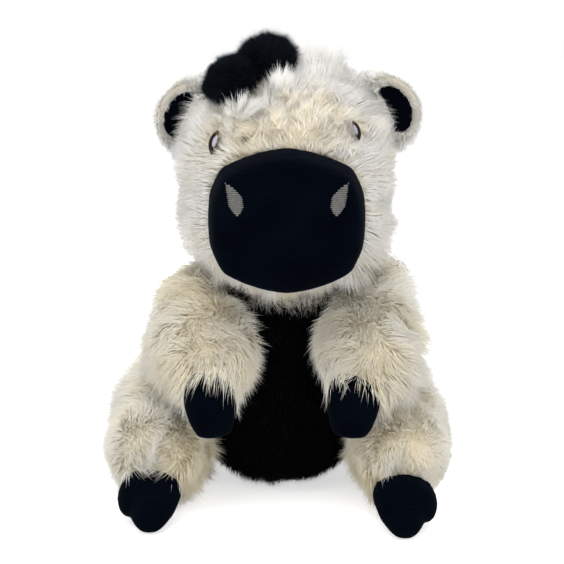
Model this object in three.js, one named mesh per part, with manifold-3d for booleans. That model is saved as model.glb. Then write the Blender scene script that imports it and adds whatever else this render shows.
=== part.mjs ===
// Sitting plush cow: white long-pile body with a black belly, muzzle, hooves, ear linings and forelock.
// Millimetres, +Z up. The toy faces -Y, so its own right side is -X.
// Origin: bottom centre of the whole toy's box. Each stuffed form is an outer skin over its stuffing.

import * as THREE from 'three';
import { mergeVertices } from 'three/addons/utils/BufferGeometryUtils.js';
import Module from 'manifold-3d';

const wasm = await Module();
wasm.setup();

// Cloth and clearances
const furThickness = 8;
const velourThickness = 2.5;
const seamGap = 0.3;
const swingGap = 0.7;
const floorFlat = 0.5;

// Body bag
const bodyWidth = 106;
const bodyDepth = 94;
const bodyHeight = 114;
const seatRound = 13;
const shoulderRound = 14;
const pouchHeight = 18;
const bellyPanelWidth = 72;
const patchRadius = 25;

// Neck
const neckRadius = 30;
const neckSink = 10;
const neckForward = 6;
const neckOpeningRadius = 17;
const neckFurThickness = 6;

// Head
const headWidth = 108;
const headHeight = 105;
const headLength = 103;
const headRise = 60.5;
const headForward = 12;
const headAside = 2.2;
const snoutRound = 8;

// Muzzle
const muzzleWidth = 73.5;
const muzzleHeight = 67;
const muzzleLength = 47;
const muzzleSink = 14;
const nostrilLength = 15.5;
const nostrilWidth = 9;
const nostrilSpacing = 46.5;
const nostrilThickness = 1.2;

// Ears, eyes and forelock
const earWidth = 38;
const earHeight = 41;
const earThickness = 14;
const earLiningWidth = 19;
const earLiningHeight = 26;
const earLiningDepth = 3;
const earLiftLeft = 3;
const eyeLength = 11.5;
const eyeWidth = 9.5;
const eyeThickness = 1.2;
const eyeInset = 3;
const eyeLiftLeft = 4;
const eyeBackLeft = 5.5;
const forelockLobeRadius = 16;
const forelockLobeSpacing = 19;

// Arms and front hooves
const armWidth = 53;
const armThickness = 44;
const armReach = 66;
const armDrop = 27;
const armInRight = 5;
const shoulderDrop = 17;
const frontHoofWidth = 26;
const frontHoofDepth = 24;
const frontHoofLength = 30;

// Legs and hind hooves
const legWidth = 60;
const legHeight = 66;
const legReach = 74;
const legSpread = 60;
const hindHoofWidth = 31;
const hindHoofHeight = 27;
const hindHoofLength = 30;
const hoofOutRight = 3;
const hoofInLeft = 2;

// Tail
const tailThickness = 9;
const tailLength = 44;
const tuftThickness = 17;
const tuftLength = 26;

// Swing of each limb, in degrees. A turn is about the axis, by the right-hand rule.
const armSwing = { min: -4, max: 20 };
const legSwing = { min: -20, max: 5 };
const earSwing = { min: -12, max: 12 };
const tailSwing = { min: -20, max: 20 };
const swingStepDegrees = 8;

// Facets
const bodySides = 20;
const limbSides = 14;
const hoofSides = 12;
const toeSides = 10;
const plain = 2;

const ahead = new THREE.Vector3(0, -1, 0);
const upward = new THREE.Vector3(0, 0, 1);
const sideways = new THREE.Vector3(1, 0, 0);
// How each side differs on this toy, which is sewn and stuffed by hand
const rightLimbs = { armOut: -armInRight, hoofOut: hoofOutRight, legReachShare: 0.88 };
const leftLimbs = { armOut: 0, hoofOut: -hoofInLeft, legReachShare: 0.98 };
const sides = [
  { name: 'right', sign: -1, earLift: 0, eyeLift: 0, eyeBack: 0, ...rightLimbs },
  { name: 'left', sign: 1, earLift: earLiftLeft, eyeLift: eyeLiftLeft, eyeBack: eyeBackLeft, ...leftLimbs },
];

const furWhite = { color: 0xe8e4da, roughness: 0.95, metalness: 0 };
const furCream = { color: 0xe2dccb, roughness: 0.95, metalness: 0 };
const furBlack = { color: 0x17181c, roughness: 0.95, metalness: 0 };
const velourBlack = { color: 0x0d1017, roughness: 0.9, metalness: 0 };
const fibreFill = { color: 0xf4f4f2, roughness: 1, metalness: 0 };
const pouchCloth = { color: 0xd9d4c6, roughness: 0.9, metalness: 0 };
const threadSilver = { color: 0xa9a7a6, roughness: 0.45, metalness: 0 };
const threadBrown = { color: 0x5b3a1e, roughness: 0.5, metalness: 0 };

// A closed mesh's geometry as a solid that can be joined and cut.
function solidOf(geometry) {
  const bare = geometry.clone();
  bare.deleteAttribute('normal');
  bare.deleteAttribute('uv');
  const merged = mergeVertices(bare);
  return new wasm.Manifold(new wasm.Mesh({
    numProp: 3,
    vertProperties: merged.attributes.position.array,
    triVerts: new Uint32Array(merged.index.array),
  }));
}

// A solid back as a named mesh with its own material.
function pieceOf(name, solid, finish) {
  const cut = solid.getMesh();
  const geometry = new THREE.BufferGeometry();
  geometry.setAttribute('position', new THREE.BufferAttribute(cut.vertProperties, cut.numProp));
  geometry.setIndex(new THREE.BufferAttribute(cut.triVerts, 1));
  geometry.computeVertexNormals();
  const piece = new THREE.Mesh(geometry, new THREE.MeshStandardMaterial(finish));
  piece.name = name;
  return piece;
}

// A point of an oval of unit half size. More than 2 of fullness squares its corners off.
function roundOval(turn, fullness, fullnessBelow) {
  const power = 2 / (Math.sin(turn) < 0 ? fullnessBelow : fullness);
  return {
    wide: Math.sign(Math.cos(turn)) * Math.abs(Math.cos(turn)) ** power,
    high: Math.sign(Math.sin(turn)) * Math.abs(Math.sin(turn)) ** power,
  };
}

// The smooth spine of a stuffed form, and its ring at any share of the way along it.
function ringsAlong({ stations, across = sideways }) {
  const spine = new THREE.CatmullRomCurve3(stations.map(({ at }) => at));
  const sizes = new THREE.CatmullRomCurve3(stations.map(({ half: [x, y] }) => new THREE.Vector3(x, y, 0)));
  const ringAt = (share) => {
    const along = spine.getTangent(share);
    const right = across.clone().addScaledVector(along, -across.dot(along)).normalize();
    const half = sizes.getPoint(share);
    return { centre: spine.getPoint(share), right, top: along.clone().cross(right), half };
  };
  return { spine, ringAt };
}

// The oval rings of a stuffed form, with a rounded cap at each end.
// stations: { at, half: [across, through] } from one end to the other. swell grows the form on all sides.
// Its section is an oval, or the given points of unit half size, one to a facet.
// A plain form keeps every second ring and facet, so it lies inside the full one, as linings and stuffing do.
function softGeometry(form, swell = 0, plainness = 1) {
  const { capStart, capEnd, fullness = 2, fullnessBelow = fullness } = form;
  const facets = form.facets / plainness;
  const rings = (form.rings ?? 6) / plainness;
  const capRings = (form.capRings ?? 2) / plainness;
  const { spine, ringAt } = ringsAlong(form);
  const first = spine.getTangent(0);
  const last = spine.getTangent(1);
  const levels = [];
  const addLevel = (share, shift, scale) => {
    const { centre, right, top, half } = ringAt(share);
    levels.push({
      centre: centre.add(shift),
      right: right.multiplyScalar((half.x + swell) * scale),
      top: top.multiplyScalar((half.y + swell) * scale),
    });
  };
  const capScale = (share) => (1 - share ** fullness) ** (1 / fullness);
  for (let k = capRings - 1; k > 0; k -= 1) {
    const share = Math.sin((k / capRings) * (Math.PI / 2));
    addLevel(0, first.clone().multiplyScalar(-share * (capStart + swell)), capScale(share));
  }
  for (let k = 0; k <= rings; k += 1) addLevel(k / rings, new THREE.Vector3(), 1);
  for (let k = 1; k < capRings; k += 1) {
    const share = Math.sin((k / capRings) * (Math.PI / 2));
    addLevel(1, last.clone().multiplyScalar(share * (capEnd + swell)), capScale(share));
  }
  const points = [];
  for (const { centre, right, top } of levels) {
    for (let j = 0; j < facets; j += 1) {
      const { wide, high } = form.section
        ? form.section[j * plainness]
        : roundOval((j / facets) * Math.PI * 2, fullness, fullnessBelow);
      points.push(centre.clone().addScaledVector(right, wide).addScaledVector(top, high));
    }
  }
  const startTip = points.length;
  points.push(spine.getPoint(0).addScaledVector(first, -(capStart + swell)));
  points.push(spine.getPoint(1).addScaledVector(last, capEnd + swell));
  const faces = [];
  for (let i = 0; i + 1 < levels.length; i += 1) {
    for (let j = 0; j < facets; j += 1) {
      const a = i * facets + j;
      const b = i * facets + ((j + 1) % facets);
      faces.push(a, b, b + facets, a, b + facets, a + facets);
    }
  }
  for (let j = 0; j < facets; j += 1) {
    const next = (j + 1) % facets;
    const end = (levels.length - 1) * facets;
    faces.push(startTip, next, j, startTip + 1, end + j, end + next);
  }
  return new THREE.BufferGeometry().setFromPoints(points).setIndex(faces);
}

// A point on a soft form's side, and the way that the form faces there. share runs from end to end.
const nearbyShare = 0.02;
function placeOn(form, share, turn) {
  const { ringAt } = ringsAlong(form);
  const pointAt = (part, angle) => {
    const { centre, right, top, half } = ringAt(part);
    const { wide, high } = roundOval(angle, form.fullness, form.fullness);
    return centre.addScaledVector(right, wide * half.x).addScaledVector(top, high * half.y);
  };
  const point = pointAt(share, turn);
  const round = pointAt(share, turn + nearbyShare).sub(pointAt(share, turn - nearbyShare));
  const onward = pointAt(share + nearbyShare, turn).sub(pointAt(share - nearbyShare, turn));
  return { point, facing: round.cross(onward).normalize() };
}

// A ball or a flattened ball, put in place.
const ovalRingShare = 0.6;
function ovalGeometry(centre, radii, facets = hoofSides) {
  const geometry = new THREE.SphereGeometry(1, facets, Math.round(facets * ovalRingShare));
  return geometry.scale(radii.x, radii.y, radii.z).translate(centre.x, centre.y, centre.z);
}
// How much larger a faceted hollow is than the faceted ball that turns in it.
function turningGap(radius, facets) {
  const rings = Math.round(facets * ovalRingShare);
  return radius / Math.cos(Math.PI / facets) / Math.cos(Math.PI / 2 / rings) - radius + seamGap;
}

// An outline in the X-Z plane pushed through along Y, from nearY to farY.
function throughGeometry(outline, nearY, farY) {
  const geometry = new THREE.ExtrudeGeometry(new THREE.Shape(outline), {
    depth: farY - nearY,
    bevelEnabled: false,
  });
  // The shape's own Y goes up to Z, and its depth runs back along +Y.
  geometry.rotateX(Math.PI / 2);
  geometry.translate(0, farY, 0);
  return geometry;
}

// Everything of a fixed form that a piece meets as it swings about its pivot, taken away from the piece.
function clearOf(solid, fixed, { pivot, axis, min, max }) {
  const steps = Math.ceil((max - min) / swingStepDegrees);
  let cleared = solid;
  for (let i = 0; i <= steps; i += 1) {
    const turn = THREE.MathUtils.degToRad(min + ((max - min) * i) / steps);
    const swung = fixed.clone()
      .translate(-pivot.x, -pivot.y, -pivot.z)
      .applyMatrix4(new THREE.Matrix4().makeRotationAxis(axis, -turn))
      .translate(pivot.x, pivot.y, pivot.z);
    cleared = cleared.subtract(solidOf(swung));
  }
  return cleared;
}

// Body: stations from the seat up, as shares of the body bag's height, width and depth
const bodyStationShares = [
  { up: 0.11, width: 0.93, depth: 0.95, forward: 0 },
  { up: 0.3, width: 1, depth: 1, forward: 0 },
  { up: 0.5, width: 0.94, depth: 0.94, forward: 0.01 },
  { up: 0.69, width: 0.81, depth: 0.83, forward: 0.03 },
  { up: 0.88, width: 0.66, depth: 0.68, forward: 0.05 },
];
function bodyGeometry(swell = 0, plainness = 1) {
  const inner = bodyHeight - seatRound - shoulderRound;
  const [low] = bodyStationShares;
  const high = bodyStationShares[bodyStationShares.length - 1];
  const stations = bodyStationShares.map(({ up, width, depth, forward }) => ({
    at: new THREE.Vector3(
      0,
      -forward * bodyDepth,
      seatRound - floorFlat + (inner + floorFlat) * ((up - low.up) / (high.up - low.up)),
    ),
    half: [(width * bodyWidth) / 2, (depth * bodyDepth) / 2],
  }));
  return softGeometry({
    stations,
    capStart: seatRound,
    capEnd: shoulderRound,
    facets: bodySides,
    fullness: 2.3,
  }, swell, plainness);
}
// Half the body's width or depth at a height, and where its middle lies there.
function bodyAt(height) {
  const up = height / bodyHeight;
  const k = Math.max(1, bodyStationShares.findIndex((station) => station.up >= up));
  const [below, above] = [bodyStationShares[k - 1], bodyStationShares[k]];
  const share = (up - below.up) / (above.up - below.up);
  const mix = (key) => THREE.MathUtils.lerp(below[key], above[key], share);
  return {
    halfWidth: (mix('width') * bodyWidth) / 2,
    halfDepth: (mix('depth') * bodyDepth) / 2,
    forward: mix('forward') * bodyDepth,
  };
}

// Neck: the ball that the head turns and nods on
const neckCentre = new THREE.Vector3(headAside, -neckForward, bodyHeight - neckSink);
const neckOpeningLengthShare = 3;
function neckGeometry(swell = 0, facets = bodySides) {
  return ovalGeometry(neckCentre, new THREE.Vector3().setScalar(neckRadius + swell), facets);
}
function neckOpeningGeometry(swell = 0) {
  const geometry = new THREE.CylinderGeometry(
    neckOpeningRadius + swell,
    neckOpeningRadius + swell,
    neckRadius * neckOpeningLengthShare,
    hoofSides,
  );
  return geometry.rotateX(Math.PI / 2).translate(neckCentre.x, neckCentre.y, neckCentre.z);
}

// Head: stations from the back of the head to the snout, as shares of its length, width and height
const headCentre = new THREE.Vector3(headAside, neckCentre.y - headForward, neckCentre.z + headRise);
const headBackShare = 0.515;
const headStationShares = [
  { along: 0.32, width: 0.94, height: 0.92, lift: 0.01 },
  { along: 0.515, width: 1, height: 1, lift: 0 },
  { along: 0.7, width: 0.94, height: 0.89, lift: -0.085 },
  { along: 0.82, width: 0.85, height: 0.79, lift: -0.145 },
  { along: 0.92, width: 0.76, height: 0.695, lift: -0.18 },
];
function headY(along) {
  return headCentre.y + (headBackShare - along) * headLength;
}
const headForm = {
  stations: headStationShares.map(({ along, width, height, lift }) => ({
    at: new THREE.Vector3(headCentre.x, headY(along), headCentre.z + lift * headHeight),
    half: [(width * headWidth) / 2, (height * headHeight) / 2],
  })),
  capStart: headStationShares[0].along * headLength,
  capEnd: snoutRound,
  facets: bodySides,
  capRings: 4,
  fullness: 2.35,
  fullnessBelow: 3.2,
};
function headGeometry(swell = 0, plainness = 1) {
  return softGeometry(headForm, swell, plainness);
}

// Muzzle: a blunt cap sunk into the snout. Its section has four soft corners, with low arcs above and below
// and fuller ones at the sides. Each quarter runs from the side to the top.
const muzzleQuarterShares = [
  { wide: 1, high: 0.02 },
  { wide: 0.98, high: 0.36 },
  { wide: 0.84, high: 0.7 },
  { wide: 0.57, high: 0.85 },
  { wide: 0.29, high: 0.95 },
  { wide: 0, high: 1 },
];
const muzzleSection = [1, -1].flatMap((up) => [1, -1].flatMap((side) => {
  const quarter = muzzleQuarterShares.slice(0, -1).map((_, k) => (
    muzzleQuarterShares[side > 0 ? k : muzzleQuarterShares.length - 1 - k]
  ));
  return quarter.map(({ wide, high }) => ({ wide: side * up * wide, high: up * high }));
}));
const muzzleStationShares = [
  { along: 0, size: 0.95 },
  { along: 0.36, size: 1 },
  { along: 0.72, size: 0.95 },
];
const muzzleDropShare = 0.18;
const muzzleBase = new THREE.Vector3(
  headCentre.x,
  headY(1) + muzzleSink,
  headCentre.z - muzzleDropShare * headHeight,
);
const muzzleFront = muzzleBase.y - muzzleLength;
function muzzleGeometry(swell = 0, plainness = 1) {
  return softGeometry({
    stations: muzzleStationShares.map(({ along, size }) => ({
      at: muzzleBase.clone().addScaledVector(ahead, along * muzzleLength),
      half: [(size * muzzleWidth) / 2, (size * muzzleHeight) / 2],
    })),
    capStart: velourThickness,
    capEnd: muzzleLength * (1 - muzzleStationShares[2].along),
    facets: muzzleSection.length,
    section: muzzleSection,
    fullness: 2.4,
    rings: 4,
    capRings: 4,
  }, swell, plainness);
}

// Limbs: spines and half sizes, from root to end, as shares of the limb's own reach, drop and size
const armStationShares = [
  { out: 0.52, reach: -0.05, drop: -0.02, across: 0.76, through: 0.86 },
  { out: 0.66, reach: 0.27, drop: 0.2, across: 0.95, through: 0.98 },
  { out: 0.65, reach: 0.6, drop: 0.55, across: 1, through: 1 },
  { out: 0.6, reach: 0.87, drop: 0.83, across: 0.88, through: 0.92 },
  { out: 0.55, reach: 1, drop: 1, across: 0.7, through: 0.76 },
];
const armAxisLeanShare = 0.45;
const shoulderHeight = bodyHeight - shoulderDrop;
const shoulder = bodyAt(shoulderHeight);
function armJoint({ sign }) {
  return {
    pivot: new THREE.Vector3(sign * shoulder.halfWidth, -shoulder.forward, shoulderHeight),
    axis: new THREE.Vector3(-1, 0, sign * armAxisLeanShare).normalize(),
    ...armSwing,
  };
}
function armGeometry({ sign, armOut }, swell = 0, plainness = 1) {
  return softGeometry({
    stations: armStationShares.map(({ out, reach, drop, across, through }) => ({
      at: new THREE.Vector3(
        sign * ((out * (2 * shoulder.halfWidth + armWidth)) / 2 + reach * armOut),
        -shoulder.forward - reach * armReach,
        shoulderHeight - drop * armDrop,
      ),
      half: [(across * armWidth) / 2, (through * armThickness) / 2],
    })),
    capStart: armThickness / 3,
    capEnd: armThickness / 4,
    facets: limbSides,
  }, swell, plainness);
}
const frontHoofStationShares = [
  { out: 1, forward: 0, down: -0.2, across: 0.9, through: 0.9 },
  { out: 0.98, forward: 0.2, down: 0.35, across: 1, through: 1 },
  { out: 0.94, forward: 0.28, down: 0.74, across: 0.78, through: 0.84 },
];
function frontHoofGeometry({ sign }, swell = 0, plainness = 1) {
  const wrist = armStationShares[armStationShares.length - 1];
  const wristX = (wrist.out * (2 * shoulder.halfWidth + armWidth)) / 2;
  const wristY = -shoulder.forward - armReach;
  const wristZ = shoulderHeight - armDrop;
  return softGeometry({
    stations: frontHoofStationShares.map(({ out, forward, down, across, through }) => ({
      at: new THREE.Vector3(
        sign * out * wristX,
        wristY - forward * frontHoofLength,
        wristZ - down * frontHoofLength,
      ),
      half: [(across * frontHoofWidth) / 2, (through * frontHoofDepth) / 2],
    })),
    capStart: frontHoofDepth / 4,
    capEnd: frontHoofDepth / 4,
    facets: hoofSides,
    fullness: 2.3,
    rings: 4,
  }, swell, plainness);
}

const legStationShares = [
  { out: 0.73, reach: -0.05, across: 1.04, through: 1.06 },
  { out: 0.88, reach: 0.26, across: 1, through: 1.02 },
  { out: 0.97, reach: 0.58, across: 0.91, through: 0.82 },
  { out: 1, reach: 0.84, across: 0.83, through: 0.78 },
  { out: 1, reach: 1, across: 0.7, through: 0.68 },
];
const hipShare = 0.85;
const hip = bodyAt(legHeight / 2);
function legJoint({ sign }) {
  return {
    pivot: new THREE.Vector3(sign * hip.halfWidth * hipShare, 0, legHeight / 2),
    axis: upward.clone().multiplyScalar(-sign),
    ...legSwing,
  };
}
function legGeometry({ sign, hoofOut, legReachShare }, swell = 0, plainness = 1) {
  return softGeometry({
    stations: legStationShares.map(({ out, reach, across, through }) => ({
      at: new THREE.Vector3(
        sign * (out * legSpread + reach ** 4 * hoofOut),
        -reach * legReach * legReachShare,
        (through * legHeight) / 2 - floorFlat,
      ),
      half: [(across * legWidth) / 2, (through * legHeight) / 2],
    })),
    capStart: legHeight / 3,
    capEnd: legHeight / 8,
    facets: limbSides,
  }, swell, plainness);
}
// A hind hoof is a wedge that narrows down to a long inner toe. A shorter outer toe is at its side.
const hindHoofStationShares = [
  { aside: 0, forward: -0.15, up: 0.56, across: 0.88, through: 0.84 },
  { aside: 0, forward: 0.25, up: 0.53, across: 1, through: 0.98 },
  { aside: -0.03, forward: 0.55, up: 0.4, across: 0.84, through: 0.78 },
  { aside: -0.03, forward: 0.92, up: 0.24, across: 0.52, through: 0.48 },
];
const outerToeShares = { aside: 0.31, forward: 0.4, up: 0.45, across: 0.2, through: 0.34, length: 0.38 };
function hindHoofSolid({ sign, hoofOut, legReachShare }, swell = 0, plainness = 1) {
  const placeOf = ({ aside, forward, up }) => new THREE.Vector3(
    sign * (legSpread + hoofOut + aside * hindHoofWidth),
    -legReach * legReachShare - forward * hindHoofLength,
    up * hindHoofHeight - floorFlat,
  );
  const wedge = softGeometry({
    stations: hindHoofStationShares.map(({ across, through, ...place }) => ({
      at: placeOf(place),
      half: [(across * hindHoofWidth) / 2, (through * hindHoofHeight) / 2],
    })),
    capStart: hindHoofHeight / 4,
    capEnd: hindHoofHeight / 5,
    facets: hoofSides,
    rings: 4,
  }, swell, plainness);
  const { across, length, through } = outerToeShares;
  const radii = new THREE.Vector3(across * hindHoofWidth, length * hindHoofLength, through * hindHoofHeight);
  const toe = ovalGeometry(placeOf(outerToeShares), radii.addScalar(swell), toeSides);
  return solidOf(wedge).add(solidOf(toe));
}

// What lies below the floor is cut off flat.
const floorBlockShares = { width: 4, depth: 6 };
const floorBlock = solidOf(new THREE.BoxGeometry(
  bodyWidth * floorBlockShares.width,
  bodyDepth * floorBlockShares.depth,
  bodyHeight,
).translate(0, 0, -bodyHeight / 2));
function onFloor(solid) {
  return solid.subtract(floorBlock);
}

// A skin of one thickness, open where the given solids pass.
function skinOf(outer, inner, ...openings) {
  return openings.reduce((skin, opening) => skin.subtract(opening), outer.subtract(inner));
}

const toy = new THREE.Group();
const neckHollow = solidOf(neckGeometry(turningGap(neckRadius, bodySides)));

// Body bag with its belly panel, its back patch, the stuffing and the pellet pouch in the seat
{
  const outer = onFloor(solidOf(bodyGeometry()));
  const inner = solidOf(bodyGeometry(-furThickness, plain));
  const skin = skinOf(outer, inner, neckHollow);
  const panelSteps = 10;
  const panelOutline = (grow) => {
    const half = bellyPanelWidth / 2 + grow;
    return new THREE.Path()
      .moveTo(-half, bodyHeight + neckRadius)
      .lineTo(-half, half)
      .absarc(0, half, half, Math.PI, Math.PI * 2, false)
      .lineTo(half, bodyHeight + neckRadius)
      .getPoints(panelSteps);
  };
  const bellyBackShare = 0.2;
  const bellyCut = (grow) => {
    const backY = grow - bodyDepth * bellyBackShare;
    return solidOf(throughGeometry(panelOutline(grow), -bodyDepth, backY));
  };
  const patchWaveShare = 0.14;
  const patchPlaceShares = { aside: 0.17, up: 0.72 };
  const patchCentre = new THREE.Vector2(bodyWidth * patchPlaceShares.aside, bodyHeight * patchPlaceShares.up);
  const patchPoints = 18;
  const patchOutline = (grow) => Array.from({ length: patchPoints }, (_, i) => {
    const turn = (i / patchPoints) * Math.PI * 2;
    const radius = patchRadius * (1 + patchWaveShare * Math.sin(3 * turn)) + grow;
    return new THREE.Vector2(Math.cos(turn), Math.sin(turn)).multiplyScalar(radius).add(patchCentre);
  });
  const patchCut = (grow) => solidOf(throughGeometry(patchOutline(grow), -grow, bodyDepth));
  toy.add(
    pieceOf('belly_panel', skin.intersect(bellyCut(0)), furBlack),
    pieceOf('back_patch', skin.intersect(patchCut(0)), furBlack),
    pieceOf('body_back_panel', skin.subtract(bellyCut(seamGap)).subtract(patchCut(seamGap)), furWhite),
  );
  const fill = solidOf(bodyGeometry(-furThickness - seamGap, plain)).subtract(neckHollow);
  const pouchTop = floorBlock.translate([0, 0, furThickness + pouchHeight]);
  const gapTop = floorBlock.translate([0, 0, furThickness + pouchHeight + seamGap]);
  toy.add(
    pieceOf('pellet_pouch', fill.intersect(pouchTop), pouchCloth),
    pieceOf('body_stuffing', fill.subtract(gapTop), fibreFill),
  );
}

// Neck: a band of fur cloth, open above and below, over a firm ball of stuffing
{
  const ball = solidOf(neckGeometry());
  const core = solidOf(neckGeometry(-neckFurThickness, hoofSides));
  const opening = solidOf(neckOpeningGeometry(seamGap));
  const plug = ball.intersect(solidOf(neckOpeningGeometry()));
  const stuffing = solidOf(neckGeometry(-neckFurThickness - seamGap, hoofSides)).add(plug);
  toy.add(
    pieceOf('neck_cover', ball.subtract(core).subtract(opening), furWhite),
    pieceOf('neck_stuffing', stuffing, fibreFill),
  );
}

// Ear places: each ear sits on a hinge line that follows the head's outline
const earAngle = THREE.MathUtils.degToRad(25);
const earYaw = THREE.MathUtils.degToRad(22);
const earBackShare = 0.06;
function earFrame({ sign, earLift }) {
  const outward = new THREE.Vector3(sign * Math.cos(earAngle), 0, Math.sin(earAngle));
  const root = headCentre.clone().add(new THREE.Vector3(
    (outward.x * headWidth) / 2,
    earBackShare * headLength,
    (outward.z * headHeight) / 2 + earLift,
  ));
  const hinge = new THREE.Vector3(-outward.z * sign, 0, outward.x * sign);
  return { root, outward, hinge };
}
// A shape given in the ear's own frame, put in its place.
// X is outward and Y back, so Z is up on the left side and down on the right.
function inEarFrame(geometry, side) {
  const { root, outward } = earFrame(side);
  const back = ahead.clone().negate();
  const along = outward.clone().cross(back);
  const place = new THREE.Matrix4().makeBasis(outward, back, along).setPosition(root);
  const yaw = new THREE.Matrix4().makeRotationZ(-earYaw);
  return geometry.applyMatrix4(place.multiply(yaw));
}
const earOffsetShare = 0.05;
const earLiningOffsetShare = 0.16;
function earGeometry(side) {
  return inEarFrame(ovalGeometry(
    new THREE.Vector3(earOffsetShare * earWidth, 0, 0),
    new THREE.Vector3(earWidth / 2, earThickness / 2, earHeight / 2),
    limbSides,
  ), side);
}
function earRootGeometry(side, swell = 0) {
  const rootLength = earHeight / 2;
  const capsule = new THREE.CapsuleGeometry(earThickness / 2 + swell, rootLength, 2, hoofSides);
  return inEarFrame(capsule.rotateX(Math.PI / 2), side);
}
function earLiningCut(side, swell = 0) {
  const disc = new THREE.CylinderGeometry(1, 1, earThickness, limbSides);
  disc.scale(earLiningWidth / 2 + swell, 1, earLiningHeight / 2 + swell);
  disc.translate(earLiningOffsetShare * earWidth, -earThickness + earLiningDepth + swell, 0);
  return solidOf(inEarFrame(disc, side));
}
function earJoint(side) {
  const { root, hinge } = earFrame(side);
  return { pivot: root, axis: hinge, ...earSwing };
}

// Eye places: on the sides of the snout bridge, facing out and a little forward
const eyeAlongShare = 0.655;
const eyeTurnShare = 0.137;
const eyePocketDepthShare = 3;
function eyeFrame({ sign, eyeLift, eyeBack }) {
  // Round the head's section from its side towards its top.
  const turn = eyeTurnShare * Math.PI * 2 + (2 * eyeLift) / headHeight;
  const { point, facing } = placeOn(headForm, eyeAlongShare - eyeBack / headLength, turn);
  point.x = headCentre.x + sign * (point.x - headCentre.x);
  facing.x *= sign;
  return { centre: point, facing };
}
function eyeGeometry(side, thickness, swell = 0) {
  const { centre, facing } = eyeFrame(side);
  const disc = new THREE.CylinderGeometry(1, 1, thickness, limbSides);
  disc.scale(eyeWidth / 2 + swell, 1, eyeLength / 2 + swell);
  disc.translate(0, thickness / 2 - swell, 0);
  const spin = new THREE.Quaternion().setFromUnitVectors(new THREE.Vector3(0, 1, 0), facing);
  return disc.applyQuaternion(spin).translate(
    centre.x - facing.x * eyeInset,
    centre.y - facing.y * eyeInset,
    centre.z - facing.z * eyeInset,
  );
}

// Head bag, muzzle, ears, eyes, nostrils and forelock
{
  const outer = solidOf(headGeometry());
  const inner = solidOf(headGeometry(-furThickness, plain));
  const muzzleInner = solidOf(muzzleGeometry(-velourThickness, plain));
  const rootGap = turningGap(earThickness / 2, hoofSides);
  const grooves = sides.map((side) => solidOf(earRootGeometry(side, rootGap)));
  const pockets = sides.map((side) => solidOf(eyeGeometry(side, eyeInset * eyePocketDepthShare, seamGap)));
  const cover = skinOf(outer, inner, muzzleInner, neckHollow, ...grooves, ...pockets);
  toy.add(pieceOf('head_cover', cover, furWhite));
  const fill = solidOf(headGeometry(-furThickness - seamGap, plain))
    .add(solidOf(muzzleGeometry(-velourThickness - seamGap, plain)))
    .subtract(neckHollow);
  toy.add(pieceOf('head_stuffing', grooves.reduce((rest, groove) => rest.subtract(groove), fill), fibreFill));

  const headClear = solidOf(headGeometry(seamGap));
  const muzzleOuter = solidOf(muzzleGeometry());
  toy.add(pieceOf('muzzle_cover', muzzleOuter.subtract(muzzleInner).subtract(headClear), velourBlack));

  const nostrilUpShare = 0.19;
  const nostrilLeanShare = 0.16;
  const nostrilTaperShare = 0.6;
  const nostrilSkin = solidOf(muzzleGeometry(seamGap + nostrilThickness))
    .subtract(solidOf(muzzleGeometry(seamGap)));
  for (const { name, sign } of sides) {
    // A drop with its round end low and towards the middle.
    const middle = new THREE.Vector2(
      headCentre.x + (sign * nostrilSpacing) / 2,
      muzzleBase.z + nostrilUpShare * muzzleHeight,
    );
    const drop = Array.from({ length: hoofSides }, (_, i) => {
      const turn = (i / hoofSides) * Math.PI * 2;
      const taper = 1 - Math.max(0, Math.sin(turn)) * nostrilTaperShare;
      const aside = (Math.cos(turn) * taper * nostrilWidth) / 2;
      const high = (Math.sin(turn) * nostrilLength) / 2;
      return new THREE.Vector2(aside + sign * nostrilLeanShare * high, high).add(middle);
    });
    const cut = solidOf(throughGeometry(drop, muzzleFront - muzzleLength, muzzleBase.y - muzzleLength / 2));
    toy.add(pieceOf(`nostril_${name}`, nostrilSkin.intersect(cut), threadSilver));
  }

  for (const side of sides) {
    toy.add(pieceOf(`eye_${side.name}`, solidOf(eyeGeometry(side, eyeThickness)), threadBrown));
    const joint = earJoint(side);
    const disc = clearOf(solidOf(earGeometry(side)), headGeometry(seamGap), joint);
    const ear = disc.add(solidOf(earRootGeometry(side)));
    const lining = disc.intersect(earLiningCut(side));
    toy.add(
      pieceOf(`ear_${side.name}`, ear.subtract(earLiningCut(side, seamGap)), furWhite),
      pieceOf(`ear_lining_${side.name}`, lining, velourBlack),
    );
  }

  const lobeShares = [
    { aside: 0, forward: 0.11, up: 0.46, size: 1 },
    { aside: -0.8, forward: 0.21, up: 0.375, size: 0.97 },
  ];
  const forelockAsideShare = -0.085;
  const forelock = lobeShares.map(({ aside, forward, up, size }) => solidOf(ovalGeometry(
    headCentre.clone().add(new THREE.Vector3(
      forelockAsideShare * headWidth + aside * forelockLobeSpacing,
      -forward * headLength,
      up * headHeight,
    )),
    new THREE.Vector3().setScalar(forelockLobeRadius * size),
  ))).reduce((tuft, lobe) => tuft.add(lobe)).subtract(headClear);
  toy.add(pieceOf('forelock', forelock, furBlack));
}

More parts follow.
